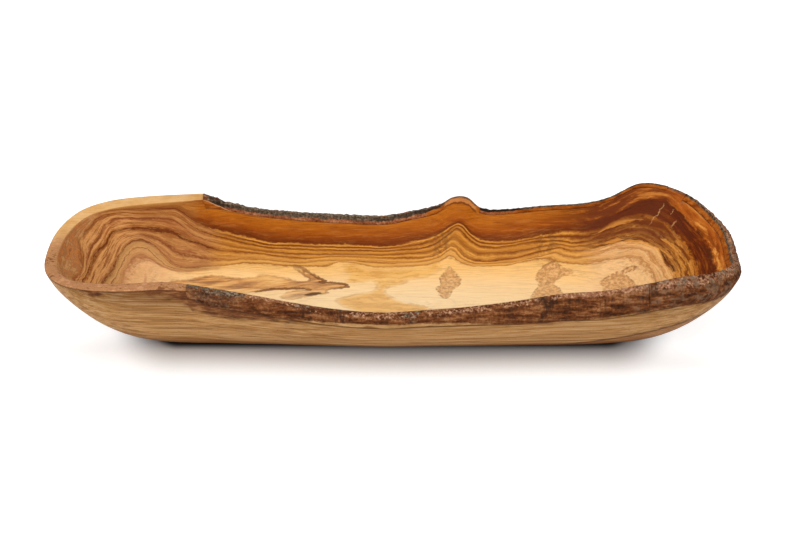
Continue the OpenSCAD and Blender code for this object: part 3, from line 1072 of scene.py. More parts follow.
class WoodPainter(Paint):
    """Paints the wood's layers, and works out once what they read at a point of the bowl."""

    def __init__(self, wood: OliveWood) -> None:
        """Read the mesh's marks, and lay out the noises that several layers share.

        Args:
            wood: The finish.
        """
        g = Graph(wood.name)
        self.wood, self.tints = wood, wood.tints
        self.spot = g.place()
        self.x, self.y, self.z = g.axes(self.spot)
        self.age, self.hollow = g.mark("ring_age"), g.mark("in_hollow")
        self.below_lip, self.below_edge = g.mark("below_lip"), g.mark("below_edge")
        self.on_rim = self.below_lip.step(0.2, -0.3) * self.below_edge.step(0.2, -0.3)
        x, y, age = self.x, self.y, self.age
        self.mottle = g.noise(self.spot * (0.05, 0.09, 0.09), 1.0, 4.0, 0.6)
        self.fibre = g.noise(self.spot * (0.06, 1.6, 1.6), 1.0, 3.0, 0.6)
        self.figure = g.noise(g.vector(x * 0.07, y * 0.05, age * 0.9 + x * 0.03), 1.0, 5.0, 0.7)
        self.flame = g.noise(g.vector(x * 0.05 + 3.0, y * 0.05, age * 0.30), 1.0, 4.0, 0.65)
        self.speck = g.noise(self.spot, 0.42, 3.0, 0.6)

        # The floor's figures, whose edges wobble
        self.wobble = (g.noise(self.spot, 0.35, 3.0, 0.6) - 0.5) * 3.2
        self.tan = g.mark("tan_reach") + self.wobble
        self.gold = g.mark("gold_reach") + self.wobble
        self.knot = g.mark("knot_reach") + self.wobble * 0.8
        self.streaks = g.noise(g.vector(x * 0.04 + 4.0, y * 0.26 - x * 0.05, self.z * 0.2), 1.0, 5.0, 0.68)
        self.waves = g.noise(g.vector(x * 0.02, y * 0.14 + (self.mottle - 0.5) * 3.0, 2.0), 1.0, 3.0, 0.55)
        self.grains = g.noise(self.spot, 0.55, 3.0, 0.55)

        # Rings that tremble a little, and are more ragged at the right end
        sway = (g.noise(self.spot * (0.016, 0.05, 0.05), 1.0, 2.0) - 0.5) * 2.4
        self.tremble = (g.noise(self.spot * (0.10, 0.22, 0.22), 1.0, 3.0, 0.6) - 0.5) * 2.2
        quiver = (g.noise(self.spot, 0.5, 3.0, 0.6) - 0.5) * 1.5
        self.grown = (age + sway + self.tremble).high(0.0)
        self.lines = g.noise(g.vector(x * 0.016, self.grown * 1.5, 3.0), 1.0, 3.0, 0.6)
        torn = g.noise(g.vector(x * 0.07, y * 0.07, age * 0.22), 1.0, 4.0, 0.62) - 0.5
        self.ragged = self.grown + (self.lines - 0.5) * 2.0 + torn * 6.5 + quiver

        # Where the two ends' own rings take over, and how strong all rings are
        drift = (self.mottle - 0.5) * 30.0
        early = self.grown.step(17.0, 14.0) * 16.0
        late = self.grown.step(42.0, 46.0) * 22.0
        self.left = (x + drift + early + late).step(-92.0, -116.0)
        self.right = (x + drift).step(104.0, 126.0)
        self.strong = age.step(50.0, 34.0) * 0.75 + 0.25

        # The lowest layer is the rings along the bowl
        self.shifted = self.grown + (self.lines - 0.5) * 1.6 + quiver
        super().__init__(g, g.ramp(self.shifted, wood.middle_stops, CORE_AGE))

    def material(self) -> bpy.types.Material:
        """Lay every layer, from the rings up to the fibres.

        Returns:
            The material.
        """
        inner = (self.rings, self.fading, self.left_end, self.heart, self.right_end, self.figures, self.edges)
        for layer in inner:
            layer()
        self.over(1.0 - self.hollow, self.outside())
        self.rim()
        return self.finish()

    def rings(self) -> None:
        """Colour the growth rings, with fine lines and threads between them."""
        g, tints, grown, lines, strong = self.g, self.tints, self.grown, self.lines, self.strong
        self.over(self.left, g.ramp(self.shifted, self.wood.left_stops, CORE_AGE))
        self.over(self.right, g.ramp(self.ragged, self.wood.right_stops, CORE_AGE))
        self.over(lines.step(0.54, 0.68) * strong * 0.42, tints.ring_line)
        light = lines.step(0.44, 0.32) * strong * grown.step(14.0, 17.0)
        self.over(light * 0.3, tints.ring_light)
        threads = g.vector(self.x * 0.03 + 7.0, self.age * 3.4 + self.tremble * 2.0, 3.0)
        threads = g.noise(threads, 1.0, 3.0, 0.6)
        self.over(threads.step(0.54, 0.68) * strong * (self.left * 0.25 + 0.32), tints.thread)
        self.over(self.mottle.step(0.5, 0.7) * self.age.step(40.0, 28.0) * 0.35, tints.mottle)
        lively = (self.left + self.right * 0.3 + 0.25).low(1.0) * strong
        self.over(self.figure.step(0.52, 0.62) * lively * 0.5, tints.figure_dark)
        self.over(self.figure.step(0.48, 0.37) * lively * 0.5, tints.figure_light)

    def fading(self) -> None:
        """Fade the rings along the bowl here and there, and grain the darker wood above them."""
        g, grown = self.g, self.grown
        fade = g.noise(g.vector(self.x * 0.022, self.age * 0.3, 9.0), 1.0, 3.0, 0.6)
        ringed = grown.step(15.5, 17.5) * grown.step(41.0, 36.0) * (1.0 - self.left) * (1.0 - self.right)
        faded = g.ramp(grown, self.wood.faded_stops, CORE_AGE)
        self.over(ringed * fade.step(0.48, 0.64) * 0.55, faded)
        wall = grown.step(15.5, 12.0) * (1.0 - self.left)
        grain = g.noise(g.vector(self.x * 0.035, self.y * 0.2, self.z * 0.6), 1.0, 5.0, 0.68)
        self.over(wall * grain.step(0.52, 0.64) * 0.4, self.tints.wall_dark)
        self.over(wall * grain.step(0.46, 0.36) * 0.35, self.tints.wall_light)

    def left_end(self) -> None:
        """Lay golden bands between the left end's arches, and the speckled wood of its tip."""
        g, grown = self.g, self.grown
        bands = abs(grown - 34.0).step(3.4, 2.4) + abs(grown - 23.3).step(1.9, 1.2)
        bands = bands + abs(grown - 27.6).step(1.6, 1.0)
        golden = self.x.step(-146.0, -158.0) * self.y.step(-46.0, -30.0) * bands
        self.over(golden * self.figure.step(0.58, 0.47) * 0.7, self.tints.left_gold)
        tip = self.x.step(-166.0, -180.0) * grown.step(22.5, 19.0)
        self.over(tip * 0.9, g.ramp(self.figure * 0.5 + self.mottle * 0.5, self.wood.tip_stops, 1.0))

    def heart(self) -> None:
        """Colour the dark heart of the log at the right end, with orange wood outside it."""
        g, x, y, tints = self.g, self.x, self.y, self.tints
        ragged, flame, grown = self.ragged, self.flame, self.grown
        heart = ragged.step(9.4, 11.2) * ragged.step(16.4, 15.0) * self.right
        ember = g.ramp(flame, self.wood.ember_stops, 1.0)
        self.over(self.right * ragged.step(10.6, 9.0) * 0.75, ember)
        self.over(heart * 0.85, g.ramp(self.figure, self.wood.heart_stops, 1.0))
        streak = abs(ragged - 8.4).step(1.3, 0.2) * self.right * y.step(44.0, 34.0)
        self.over(streak * flame.step(0.38, 0.5) * 0.8, tints.streak)
        # Painted shade at the top of the right end's back wall, just under the bark
        shade_under_bark = x.step(88.0, 112.0) * x.step(150.0, 132.0) * y.step(10.0, 40.0) * grown.step(13.0, 9.0)
        self.over(shade_under_bark * flame.step(0.62, 0.5) * 0.7, tints.shade_under_bark)
        # Painted shadow lower down the right end's back wall
        shadow = x.step(104.0, 124.0) * x.step(172.0, 158.0) * y.step(14.0, 36.0) * grown.step(27.0, 20.0)
        self.over(shadow * flame.step(0.68, 0.48) * 0.68, tints.shadow)

    def right_end(self) -> None:
        """Scratch the heart, and break up the rings below it into dark and orange patches."""
        below_lip, flame = self.below_lip, self.flame
        for start, far, near, width in self.wood.scratches:
            slash = abs(self.x - start + (below_lip - 12.0) * 0.5 + (flame - 0.5) * 8.0).step(width, 0.1)
            slash = slash * below_lip.step(near - 2.0, near) * below_lip.step(far, far - 3.0)
            self.over(slash * self.y.step(24.0, 32.0) * 0.45, self.tints.scratch)
        patches = self.right * self.grown.step(16.0, 18.0) * self.grown.step(30.6, 29.0)
        self.over(patches * flame.step(0.50, 0.60) * 0.7, self.tints.patch_dark)
        self.over(patches * flame.step(0.47, 0.38) * 0.7, self.tints.patch_light)

    def figures(self) -> None:
        """Speckle the wall under the back rim's knots, and fill the figures of the floor."""
        g, x, y, wobble, speck = self.g, self.x, self.y, self.wobble, self.speck
        roots = abs(x - 29.5).step(9.0, 1.0) + abs(x - 91.5).step(12.0, 2.0) * 0.8
        roots = roots * self.grown.step(12.0, 16.0) * self.grown.step(39.0, 28.0)
        self.over(roots * speck.step(0.42, 0.58) * 0.65, self.tints.root)
        tan_wood = g.ramp(self.streaks - y.step(24.0, 30.0) * 0.06, self.wood.tan_stops, 1.0)
        deep = (y + wobble * 3.0 + (self.streaks - 0.5) * 20.0).step(-8.0, 20.0)
        self.over(self.tan.step(0.9, -1.2) * deep * 0.85, tan_wood)
        self.over(self.gold.step(1.2, -3.0) * 0.75, g.ramp(self.waves, self.wood.gold_stops, 1.0))
        knot_wood = g.ramp(self.grains * 0.6 + speck * 0.4, self.wood.knot_stops, 1.0)
        self.over(self.knot.step(0.6, -0.9) * 0.75, knot_wood)

    def edges(self) -> None:
        """Draw the edges of the floor's figures, the split at the left and the dark eye."""
        g, tints, wobble = self.g, self.tints, self.wobble
        tan_dark = g.mark("tan_dark")
        tan_edge = (abs(self.tan + 0.4) - tan_dark * 0.55).step(0.9, 0.1) * tan_dark
        self.over((tan_edge * self.streaks.step(0.2, 0.5)).low(1.0) * 0.82, tints.tan_edge)
        gold_edge = abs(self.gold).step(1.5, 0.2) * g.mark("gold_dark")
        self.over(gold_edge.low(1.0) * self.waves.step(0.38, 0.6) * 0.55, tints.gold_edge)
        knot_edge = abs(self.knot).step(0.9, 0.1) * g.mark("knot_dark")
        self.over(knot_edge.low(1.0) * self.grains.step(0.36, 0.56) * 0.8, tints.knot_edge)
        split = abs(self.x + 145.0 + wobble * 0.4).step(1.3, 0.2)
        split = split * self.y.step(-14.0, -6.0) * self.y.step(26.0, 18.0)
        self.over(split * self.age.step(43.0, 46.0) * 0.45, tints.split)
        eye = (g.mark("eye_reach") + wobble * 0.3).step(0.5, -0.4)
        self.over(eye * 0.85, tints.eye)

    def outside(self) -> Signal:
        """Colour the duller outside: fine level lines, the bark's stain, a seam and a dark foot.

        Returns:
            The colour.
        """
        g, x, z, spot, tints = self.g, self.x, self.z, self.spot, self.tints
        level = g.noise(spot * (0.010, 0.35, 0.6) + (0.0, 0.0, 2.0), 1.0, 4.0, 0.65)
        blot = g.noise(spot * (0.03, 0.06, 0.12), 1.0, 4.0, 0.6)
        thin = g.noise(spot * (0.014, 0.8, 1.2) + (8.0, 0.0, 0.0), 1.0, 4.0, 0.65)
        freckles = g.noise(spot * (0.6, 1.0, 1.0), 1.0, 2.0, 0.5)
        grime = g.noise(spot * (0.10, 0.25, 0.4), 1.0, 5.0, 0.68)
        bands = (self.age + (level - 0.5) * 22.0 + (blot - 0.5) * 14.0).high(0.0)
        coat = Paint(g, g.ramp(bands, self.wood.outer_stops, CORE_AGE))
        coat.over(level.step(0.51, 0.58) * 0.5, tints.level_dark)
        coat.over(level.step(0.48, 0.41) * 0.4, tints.level_light)
        coat.over(thin.step(0.53, 0.62) * 0.36, tints.thin_dark)
        coat.over(thin.step(0.46, 0.36) * 0.26, tints.thin_light)
        coat.over(freckles.step(0.64, 0.74) * 0.4, tints.freckle)
        coat.over(blot.step(0.55, 0.7) * 0.45, tints.blot)
        stain = self.below_edge + (blot - 0.5) * 8.0 + (grime - 0.5) * 12.0 - g.mark("stain")
        coat.over(stain.step(3.0, -2.5) * 0.9, g.ramp(grime, self.wood.stain_stops, 1.0))
        above_seam = z - ((x - 88.0) * 0.26 + 4.0 + (level - 0.5) * 4.0)
        front_right = x.step(78.0, 98.0) * self.y.step(0.0, -10.0)
        coat.over(above_seam.step(1.0, -1.5) * front_right * 0.5, tints.under_seam)
        seam = abs(above_seam).step(1.7, 0.3) * front_right * thin.step(0.3, 0.42)
        coat.over(seam * 0.8, tints.seam)
        foot = (z + (level - 0.5) * 7.0).step(11.0, 4.5)
        coat.over(foot * (x.step(-60.0, 30.0) * 0.35 + 0.55), tints.foot)
        return coat.colour

    def rim(self) -> None:
        """Colour the bare rim: smooth where it is sawn, rubbed at the tip, ragged at the back knot."""
        g, x, y, below_lip, below_edge = self.g, self.x, self.y, self.below_lip, self.below_edge
        tints = self.tints
        specks = g.noise(self.spot, 0.45, 3.0, 0.6)
        clouds = g.noise(self.spot, 0.09, 3.0, 0.55)
        bare = Paint(g, g.ramp(specks * 0.5 + clouds * 0.5, self.wood.worn_stops, 1.0))
        grey = g.ramp(specks, self.wood.grey_rim_stops, 1.0)
        bare.over(y.step(4.0, 34.0), g.ramp(clouds, self.wood.sawn_stops, 1.0))
        bare.over(x.step(-90.0, -60.0), g.ramp(specks, self.wood.knot_rim_stops, 1.0))
        bare.over(x.step(120.0, 140.0), grey)
        self.over(self.on_rim, bare.colour)
        gap = x.step(162.0, 166.0) * x.step(181.0, 177.0) * y.step(46.0, 52.0)
        worn_edge = gap * self.hollow * (below_lip + (specks - 0.5) * 3.0).step(2.4, 1.4)
        self.over(worn_edge * 0.8, grey)
        rim_line = below_edge.step(-0.5, 0.1) * below_edge.step(1.2, 0.4)
        self.over(rim_line * (1.0 - y.step(4.0, 34.0) * 0.8) * 0.7, tints.rim_line)
        knot = x.step(30.0, 32.0) * x.step(50.5, 49.0) * y.step(40.0, 48.0)
        ragged_lip = below_lip + (specks - 0.5) * 2.4
        self.over(knot * self.hollow * ragged_lip.step(4.0, 3.0) * 0.75, tints.worn_lip)
        lip_line = knot * self.hollow * abs(ragged_lip - 3.9).step(0.9, 0.2)
        self.over(lip_line * 0.8, tints.lip_line)
        crest = knot * (below_lip + (specks - 0.5) * 1.6).step(1.5, 0.6)
        self.over(crest * 0.8, tints.crest)

    def finish(self) -> bpy.types.Material:
        """Add fibres, pores and fine flecks over everything, and the oiled shader.

        Returns:
            The material.
        """
        g, fibre = self.g, self.fibre
        self.over(fibre.step(0.45, 0.75) * 0.26, self.tints.fibre, "MULTIPLY")
        pores = g.noise(self.spot * (0.25, 2.6, 2.6), 1.0, 1.0)
        self.over(pores.step(0.68, 0.76) * (self.age.step(52.0, 40.0) * 0.2 + 0.1), self.tints.pore)
        relief = fibre * 0.5 + self.lines * 0.3 + pores.step(0.74, 0.66) * 0.2
        rough = self.wood.roughness - self.hollow * 0.12 + (fibre - 0.5) * 0.12 + self.on_rim * 0.15
        sockets = {"Base Color": self.colour, "Roughness": rough, "Specular IOR Level": self.wood.shine}
        return g.surface(sockets, relief, self.wood.relief_depth)


@dataclass(frozen=True)
class Look:
    """How the bark looks at a row of the rim, each from 0 to 1.

    Attributes:
        row: The row.
        crust: Share of grey crust left on its top.
        soot: How blackened it is.
        flesh: Share of pale inner bark that shows on its top.
        rough: How rough its surface is.
        strip: How far the top reaches across it, from the inner edge.
    """

    row: float
    crust: float
    soot: float
    flesh: float
    rough: float
    strip: float


LOOKS = tuple(Look(*row) for row in (
    (3.8, 0.40, 0.3, 0.7, 0.5, 0.6), (4.8, 0.45, 0.3, 0.6, 0.5, 0.6), (5.3, 0.52, 0.4, 0.4, 0.8, 0.8),
    (6.2, 0.55, 0.4, 0.4, 0.8, 0.8), (7.0, 0.45, 0.3, 0.6, 0.6, 0.8), (8.2, 0.45, 0.4, 0.5, 0.7, 0.8),
    (8.7, 0.60, 0.95, 0.4, 1.0, 0.9), (10.1, 0.62, 1.0, 0.4, 1.0, 0.9), (12.5, 0.5, 0.5, 0.3, 0.8, 1.0),
    (13.1, 0.5, 0.8, 0.3, 0.9, 1.0), (13.8, 0.7, 0.7, 0.3, 0.9, 1.0), (15.0, 0.7, 0.5, 0.4, 0.9, 1.0),
    (16.0, 0.7, 0.35, 0.5, 0.8, 1.0), (18.0, 0.7, 0.4, 0.5, 0.9, 1.0), (18.7, 0.66, 0.5, 0.5, 1.0, 1.0),
    (19.0, 0.6, 0.8, 0.3, 1.0, 1.0), (19.4, 0.5, 0.6, 0.5, 1.0, 1.0), (30.5, 0.7, 0.5, 0.1, 1.0, 0.5),
    (31.5, 0.7, 0.32, 0.1, 1.0, 0.5), (32.3, 0.2, 0.12, 0.6, 0.5, 0.3), (32.8, 0.15, 0.18, 0.5, 0.4, 0.3),
    (33.2, 0.5, 0.65, 0.3, 0.8, 0.6), (34.0, 0.5, 0.6, 0.3, 0.8, 0.7), (34.4, 0.3, 0.35, 0.4, 0.6, 0.7),
    (35.3, 0.3, 0.35, 0.4, 0.6, 0.7), (35.6, 0.6, 0.4, 0.3, 0.7, 0.7), (36.1, 0.35, 0.4, 0.4, 0.6, 0.6),
    (37.2, 0.3, 0.35, 0.45, 0.6, 0.5), (37.6, 0.15, 0.4, 0.35, 0.5, 0.4),
    (38.3, 0.15, 0.45, 0.35, 0.5, 0.35), (38.6, 0.15, 0.75, 0.3, 0.6, 0.25),
    (39.2, 0.1, 0.5, 0.8, 0.5, 0.2), (40.6, 0.2, 0.45, 0.8, 0.5, 0.2), (41.4, 0.45, 0.45, 0.5, 0.7, 0.4),
    (42.5, 0.45, 0.4, 0.5, 0.7, 0.45), (45.0, 0.45, 0.4, 0.5, 0.7, 0.45), (46.5, 0.42, 0.4, 0.5, 0.7, 0.45),
    (49.1, 0.40, 0.4, 0.5, 0.7, 0.6),
))
# Row of the notch near the front right, a crack with painted shade in it
NOTCH_ROW = 41.0

# Rows of the rim, and how far down the outside of the wood the bark's stain reaches, in millimetres
STAINS = (
    (0, 1.5), (3.8, 1.5), (10, 1), (12.5, 1.5), (19.3, 3), (20, -3), (27.8, -3), (28, 3), (28.3, 3.5),
    (28.5, -2), (29.3, -1), (29.6, 4), (29.85, 4), (30.15, 5), (30.4, 10), (30.474, 12.5), (30.476, 8.5),
    (31.2, 8), (32.2, 4), (33, -1), (34.5, -4), (36.5, -3), (38, 0.5), (38.7, 2), (39.3, 0), (40, -1.5),
    (41, -0.5), (42, 1), (43, 2), (46, 1.5),
)


def stain_reach(way: np.ndarray) -> np.ndarray:
    """Return how far down the outside the bark's stain reaches, in millimetres."""
    rows, reach = np.array(STAINS, float).T
    return np.interp((way % 1) * ROWS, rows, reach)


@dataclass(frozen=True)
class BarkTints:
    """Single colours that the layers of the bark are painted with."""

    upright: Colour = tint("4A2C1C")
    dull: Colour = tint("705C4A")
    soot: Colour = tint("2E1C12")
    # Painted shade of the cracks
    crack_shade: Colour = tint("28180F")
    burnt: Colour = tint("241A12")
    pale_line: Colour = tint("E0B080")


@dataclass(frozen=True)
class BarkFinish:
    """Thin dry bark: grey crust, pale inner bark and a stained red-brown outside.

    Attributes:
        name: Name of the material.
        tints: The colours of its cracks, soot and lines.
        inner_stops: Colours of the bark under its crust.
        grey_stops: Colours of the crust.
        pale_stops: Colours of the inner bark on the top.
        flesh_stops: Colours of the inner bark on the side towards the hollow.
        oiled_stops: Colours of that side where it is oiled with the wood.
        bare_stops: Colours of the wood below the bark's outer edge.
        stained_stops: Colours of the strips' ends.
        roughness: Roughness of the surface.
        shine: Specular level.
        relief_depth: Depth of the finest relief.
    """

    name: str = "bark"
    tints: BarkTints = BarkTints()
    inner_stops: Stops = ((0.36, "341A0C"), (0.45, "562E16"), (0.52, "744222"), (0.62, "9C6A42"))
    grey_stops: Stops = ((0.34, "2E2218"), (0.45, "5C4C3C"), (0.56, "806C58"), (0.7, "AE9A80"))
    pale_stops: Stops = ((0.34, "6A3E28"), (0.5, "9A684A"), (0.66, "D0A480"))
    flesh_stops: Stops = ((0.36, "5A2E18"), (0.5, "925636"), (0.64, "BC8660"))
    oiled_stops: Stops = ((0.38, "7C3A0C"), (0.5, "9C5214"), (0.6, "B06624"))
    bare_stops: Stops = ((0.38, "8A5A30"), (0.5, "B98A56"), (0.62, "D2A670"))
    stained_stops: Stops = ((0.4, "5E341C"), (0.5, "8A5A36"), (0.6, "B07E50"))
    roughness: float = 0.82
    shine: float = 0.08
    relief_depth: float = 0.3 * MM

    def material(self) -> bpy.types.Material:
        """Build the bark's material."""
        return BarkPainter(self).material()


class BarkPainter(Paint):
    """Paints the bark's layers, and works out once what they read at a point."""

    def __init__(self, bark: BarkFinish) -> None:
        """Read the mesh's marks, and lay out the noises that several layers share.

        Args:
            bark: The finish.
        """
        g = Graph(bark.name)
        self.bark, self.tints = bark, bark.tints
        spot = g.place()
        self.x, _, _ = g.axes(spot)
        self.crust, self.soot = g.mark("crust"), g.mark("soot")
        self.band, self.cut = g.mark("band"), g.mark("cut_face")
        self.coarse = g.noise(spot, 0.20, 4.0, 0.6)
        self.fine = g.noise(spot + (50.0, 0.0, 0.0), 0.7, 4.0, 0.65)
        self.level = g.noise(spot * (0.08, 0.4, 0.4), 1.0, 4.0, 0.62)
        self.upright = g.noise(spot * (0.4, 0.07, 0.07), 1.0, 3.0, 0.6)
        self.on_side = self.cut.step(0.02, 0.08)
        self.grey = g.ramp(self.fine, bark.grey_stops, 1.0)
        self.oiled = g.ramp(self.fine * 0.15 + self.level * 0.85, bark.oiled_stops, 1.0)
        super().__init__(g, g.ramp(self.level * 0.7 + self.fine * 0.3, bark.inner_stops, 1.0))

    def material(self) -> bpy.types.Material:
        """Lay every layer, from the skin to the strips' ends.

        Returns:
            The material.
        """
        bark = self.bark
        self.skin()
        self.over(self.on_side, self.side())
        self.ends()
        sockets = {"Base Color": self.colour, "Roughness": bark.roughness, "Specular IOR Level": bark.shine}
        return self.g.surface(sockets, self.fine * 0.6 + self.level * 0.4, bark.relief_depth)

    def skin(self) -> None:
        """Colour the top and the outside: inner bark, crust, soot and painted shade in the cracks."""
        g, coarse, fine, level, upright = self.g, self.coarse, self.fine, self.level, self.upright
        self.over(upright.step(0.55, 0.7) * 0.4, self.tints.upright)
        top = (self.band + (coarse - 0.5) * 0.7 - g.mark("strip")).step(0.08, -0.08)
        fleshy = (fine - 0.5) * 1.2 + (coarse - 0.5) + g.mark("flesh") - 0.35
        pale = g.ramp(fine, self.bark.pale_stops, 1.0)
        self.over((fleshy.step(-0.05, 0.2) * top).low(1.0) * 0.9, pale)
        crusty = (coarse - 0.5) * 1.5 + (fine - 0.5) * 0.6 + self.crust - 0.42 - self.band * 0.12
        self.over(crusty.step(0.0, 0.25) * (top * 0.75 + 0.25), self.grey)
        dull = self.x.step(120.0, 145.0) * (coarse * 0.6 + level * 0.4).step(0.48, 0.58)
        self.over(dull * 0.5, self.tints.dull)
        sooty = (upright - 0.5) + (coarse - 0.5) + self.soot - 0.55
        self.over(sooty.step(0.0, 0.35) * 0.8, self.tints.soot)
        # Painted shade in the bark's cracks and its notch
        self.over(g.mark("crack_shade").step(0.2, 0.8) * 0.6, self.tints.crack_shade)

    def side(self) -> Signal:
        """Colour the side towards the hollow: crust above, inner bark or oiled bark below.

        Returns:
            The colour.
        """
        g = self.g
        flesh = g.ramp(self.fine * 0.6 + self.level * 0.4, self.bark.flesh_stops, 1.0)
        low = g.blend(self.crust.step(0.55, 0.65), self.oiled, flesh)
        high = g.blend((self.soot * 1.1).low(1.0), self.grey, self.tints.burnt)
        share = (self.cut + (self.coarse - 0.5) * 0.6 - self.crust * 0.75).step(0.0, 0.15)
        return g.blend(share, high, low)

    def ends(self) -> None:
        """Fade the bark into the wood below it and at its ends, with a pale line at the left one."""
        g, coarse, fine, level = self.g, self.coarse, self.fine, self.level
        from_end = g.mark("from_end")
        bare = g.mark("above") + g.mark("stain") + (coarse - 0.5) * 5.0 + (level - 0.5) * 4.0
        self.over(bare.step(0.6, -1.2), g.ramp(level, self.bark.bare_stops, 1.0))
        ending = from_end + (coarse - 0.5) * 12.0 + (fine - 0.5) * 8.0 + (1.0 - self.band) * 6.0
        ending = ending.step(5.0, 1.0) * self.band.step(0.25, 0.45)
        stained = g.ramp(level * 0.6 + fine * 0.4, self.bark.stained_stops, 1.0)
        self.over(ending * 0.85, stained)
        corner = from_end - self.cut * 15.0 + (coarse - 0.5) * 6.0 + (fine - 0.5) * 3.0
        left_end = self.on_side * self.x.step(-92.0, -96.0)
        self.over(corner.step(1.0, -1.0) * left_end, self.oiled)
        self.over(abs(corner + 0.8).step(1.5, 0.4) * left_end * 0.6, self.tints.pale_line)


class Zone(Enum):
    """Part of the bowl's surface that a ring of points lies on."""

    OUTSIDE = 0
    RIM = 1
    HOLLOW = 2


@dataclass(frozen=True)
class BowlBody:
    """The carved wooden bowl, in one piece.

    Attributes:
        form: The bowl's shape.
        wood: Its finish.
        node: Name of the solid that it stands for.
        spacing_share: Distance between stations, as a share of the way round.
        foot_shares: Places of the rings of points under the foot, as shares of its outline.
        wall_rings: Number of rings up the outer wall, as far as spread_end.
        hollow_rings: Number of rings down the hollow's wall, from spread_end.
        spread_end: Share of the way up where the rings draw closer.
        close_start: Share of the way up where the close rings start.
        close_rings: Number of close rings on either side of the rim.
        rim_shares: Places of the rings across the rim.
        floor_rings: Number of rings on the hollow's floor.
        floor_ends: Places of the first and the last of them, as shares of its outline.
        soft_rings: How many rings beside the rim are softened with it.
        soft_rounds: How often they are softened.
        log_axis: Height of the log's middle, in millimetres, from which the outside's age is counted.
        log_radius: Radius of the log there.
        outer_stretch: How much faster the age grows outside.
        figure_height: Height that the floor's figures don't reach, in millimetres.
    """

    form: BowlForm
    wood: OliveWood
    node: str = "bowl_body"
    spacing_share: float = 1 / 720
    foot_shares: tuple[float, ...] = (0.5, 0.8, 0.97)
    wall_rings: int = 17
    hollow_rings: int = 37
    spread_end: float = 0.92
    close_start: float = 0.94
    close_rings: int = 5
    rim_shares: tuple[float, ...] = (0.05, 0.12, 0.22, 0.36, 0.5, 0.64, 0.78, 0.88, 0.95)
    floor_rings: int = 56
    floor_ends: tuple[float, float] = (0.985, 0.015)
    soft_rings: int = 4
    soft_rounds: int = 3
    log_axis: float = -25.0
    log_radius: float = 92.0
    outer_stretch: float = 1.1
    figure_height: float = 40.0

    def stations(self) -> Section:
        """Join the sections of all the runs into one closed loop.

        Returns:
            The section at every station round the rim.
        """
        parts = []
        for run in RUNS:
            first, last = run.start_share + self.form.seam_share, run.end_share - self.form.seam_share
            count = max(3, round((last - first) / self.spacing_share)) + 1
            parts.append(self.form.section(np.linspace(first, last, count), run.bark))
        names = [field.name for field in fields(Section)]
        return Section(*(np.concatenate([getattr(part, name) for part in parts]) for name in names))

    def rings(self, s: Section) -> tuple[np.ndarray, np.ndarray, np.ndarray]:
        """Lay out the rings of points from the middle of the foot to the middle of the floor.

        Args:
            s: The stations.

        Returns:
            The points, the kind of each ring, and its depth in the hollow.
        """
        form, flat = self.form, np.zeros((len(s.way), 1))
        ups = np.append(np.linspace(0, self.spread_end, self.wall_rings),
                        np.linspace(self.close_start, 1, self.close_rings))
        downs = np.append(np.linspace(1, self.close_start, self.close_rings),
                          np.linspace(self.spread_end, 0, self.hollow_rings))
        spans = np.linspace(*self.floor_ends, self.floor_rings)
        base, rise = form.floor_height, form.floor_rise
        rings = [np.column_stack([s.foot * span, flat]) for span in self.foot_shares]
        rings += [form.wall(s, up * form.wall_end(s)) for up in ups]
        kinds = [Zone.OUTSIDE.value] * len(rings) + [Zone.RIM.value] * len(self.rim_shares)
        kinds += [Zone.HOLLOW.value] * (len(downs) + len(spans))
        rings += [form.across(s, t, False)[0] for t in self.rim_shares]
        depths = np.concatenate([np.zeros(len(rings)), 1 - downs, 2 - spans])
        rings += [form.hollow(s, down * form.hollow_end(s)) for down in downs]
        rings += [np.column_stack([s.floor * span, flat + base + rise * span * span]) for span in spans]
        return np.array(rings), np.array(kinds), depths

    def soften(self, stack: np.ndarray, kinds: np.ndarray) -> np.ndarray:
        """Round the rim's two edges a little.

        Args:
            stack: Points by ring and station.
            kinds: Kind of each ring.

        Returns:
            The softened points.
        """
        rim = np.where(kinds == Zone.RIM.value)[0]
        first, last = rim[0] - self.soft_rings, rim[-1] + 1 + self.soft_rings
        for _ in range(self.soft_rounds):
            around = (stack[first - 1:last - 1] + stack[first + 1:last + 1]) / 2
            stack[first:last] = mix(stack[first:last], around, 0.5)
        return stack

    def marks(
        self, s: Section, stack: np.ndarray, kinds: np.ndarray, depths: np.ndarray
    ) -> dict[str, np.ndarray]:
        """Work out the values that the wood's finish reads.

        Args:
            s: The stations.
            stack: Points by ring and station.
            kinds: Kind of each ring.
            depths: Depth of each ring in the hollow.

        Returns:
            Values on the points, by name.
        """
        count = len(s.way)
        lip = np.where(kinds == Zone.HOLLOW.value)[0][0]
        edge = np.where(kinds == Zone.OUTSIDE.value)[0][-1]
        steps = np.linalg.norm(np.diff(stack, axis=0), axis=2) / MM
        run = np.vstack([np.zeros(count), np.cumsum(steps, 0)])
        points = stack.reshape(-1, 3) / MM
        bare = 1 - (1 - depths[:, None]) * self.form.hollow_end(s)
        depth = np.where(depths[:, None] > 1, depths[:, None], bare).ravel()
        inside = ring_age(np.tile(s.way, len(kinds)), depth)
        reach = np.hypot(points[:, 1], points[:, 2] - self.log_axis)
        outside = np.clip((self.log_radius - reach) * self.outer_stretch, 0, CORE_AGE)
        hollow = np.repeat((kinds == Zone.HOLLOW.value).astype(float), count)
        marks = {
            "below_lip": (run - run[lip]).ravel(),
            "below_edge": (run[edge] - run).ravel(),
            "in_hollow": hollow,
            "ring_age": np.where(hollow > 0, inside, outside),
            "stain": np.tile(stain_reach(s.way), len(kinds)),
        }
        low = (hollow > 0) & (points[:, 2] < self.figure_height)
        for group, figures in FIGURES.items():
            best, dark = np.full(len(points), FAR), np.zeros(len(points))
            for figure in figures:
                away, edge_dark = figure.reach(points[low, :2])
                near = away < best[low]
                spots = np.where(low)[0][near]
                best[spots], dark[spots] = away[near], edge_dark[near]
            marks[f"{group.value}_reach"], marks[f"{group.value}_dark"] = best, dark
        eye = np.full(len(points), FAR)
        eye[low] = EYE.reach(points[low, :2])[0]
        marks["eye_reach"] = eye
        return marks

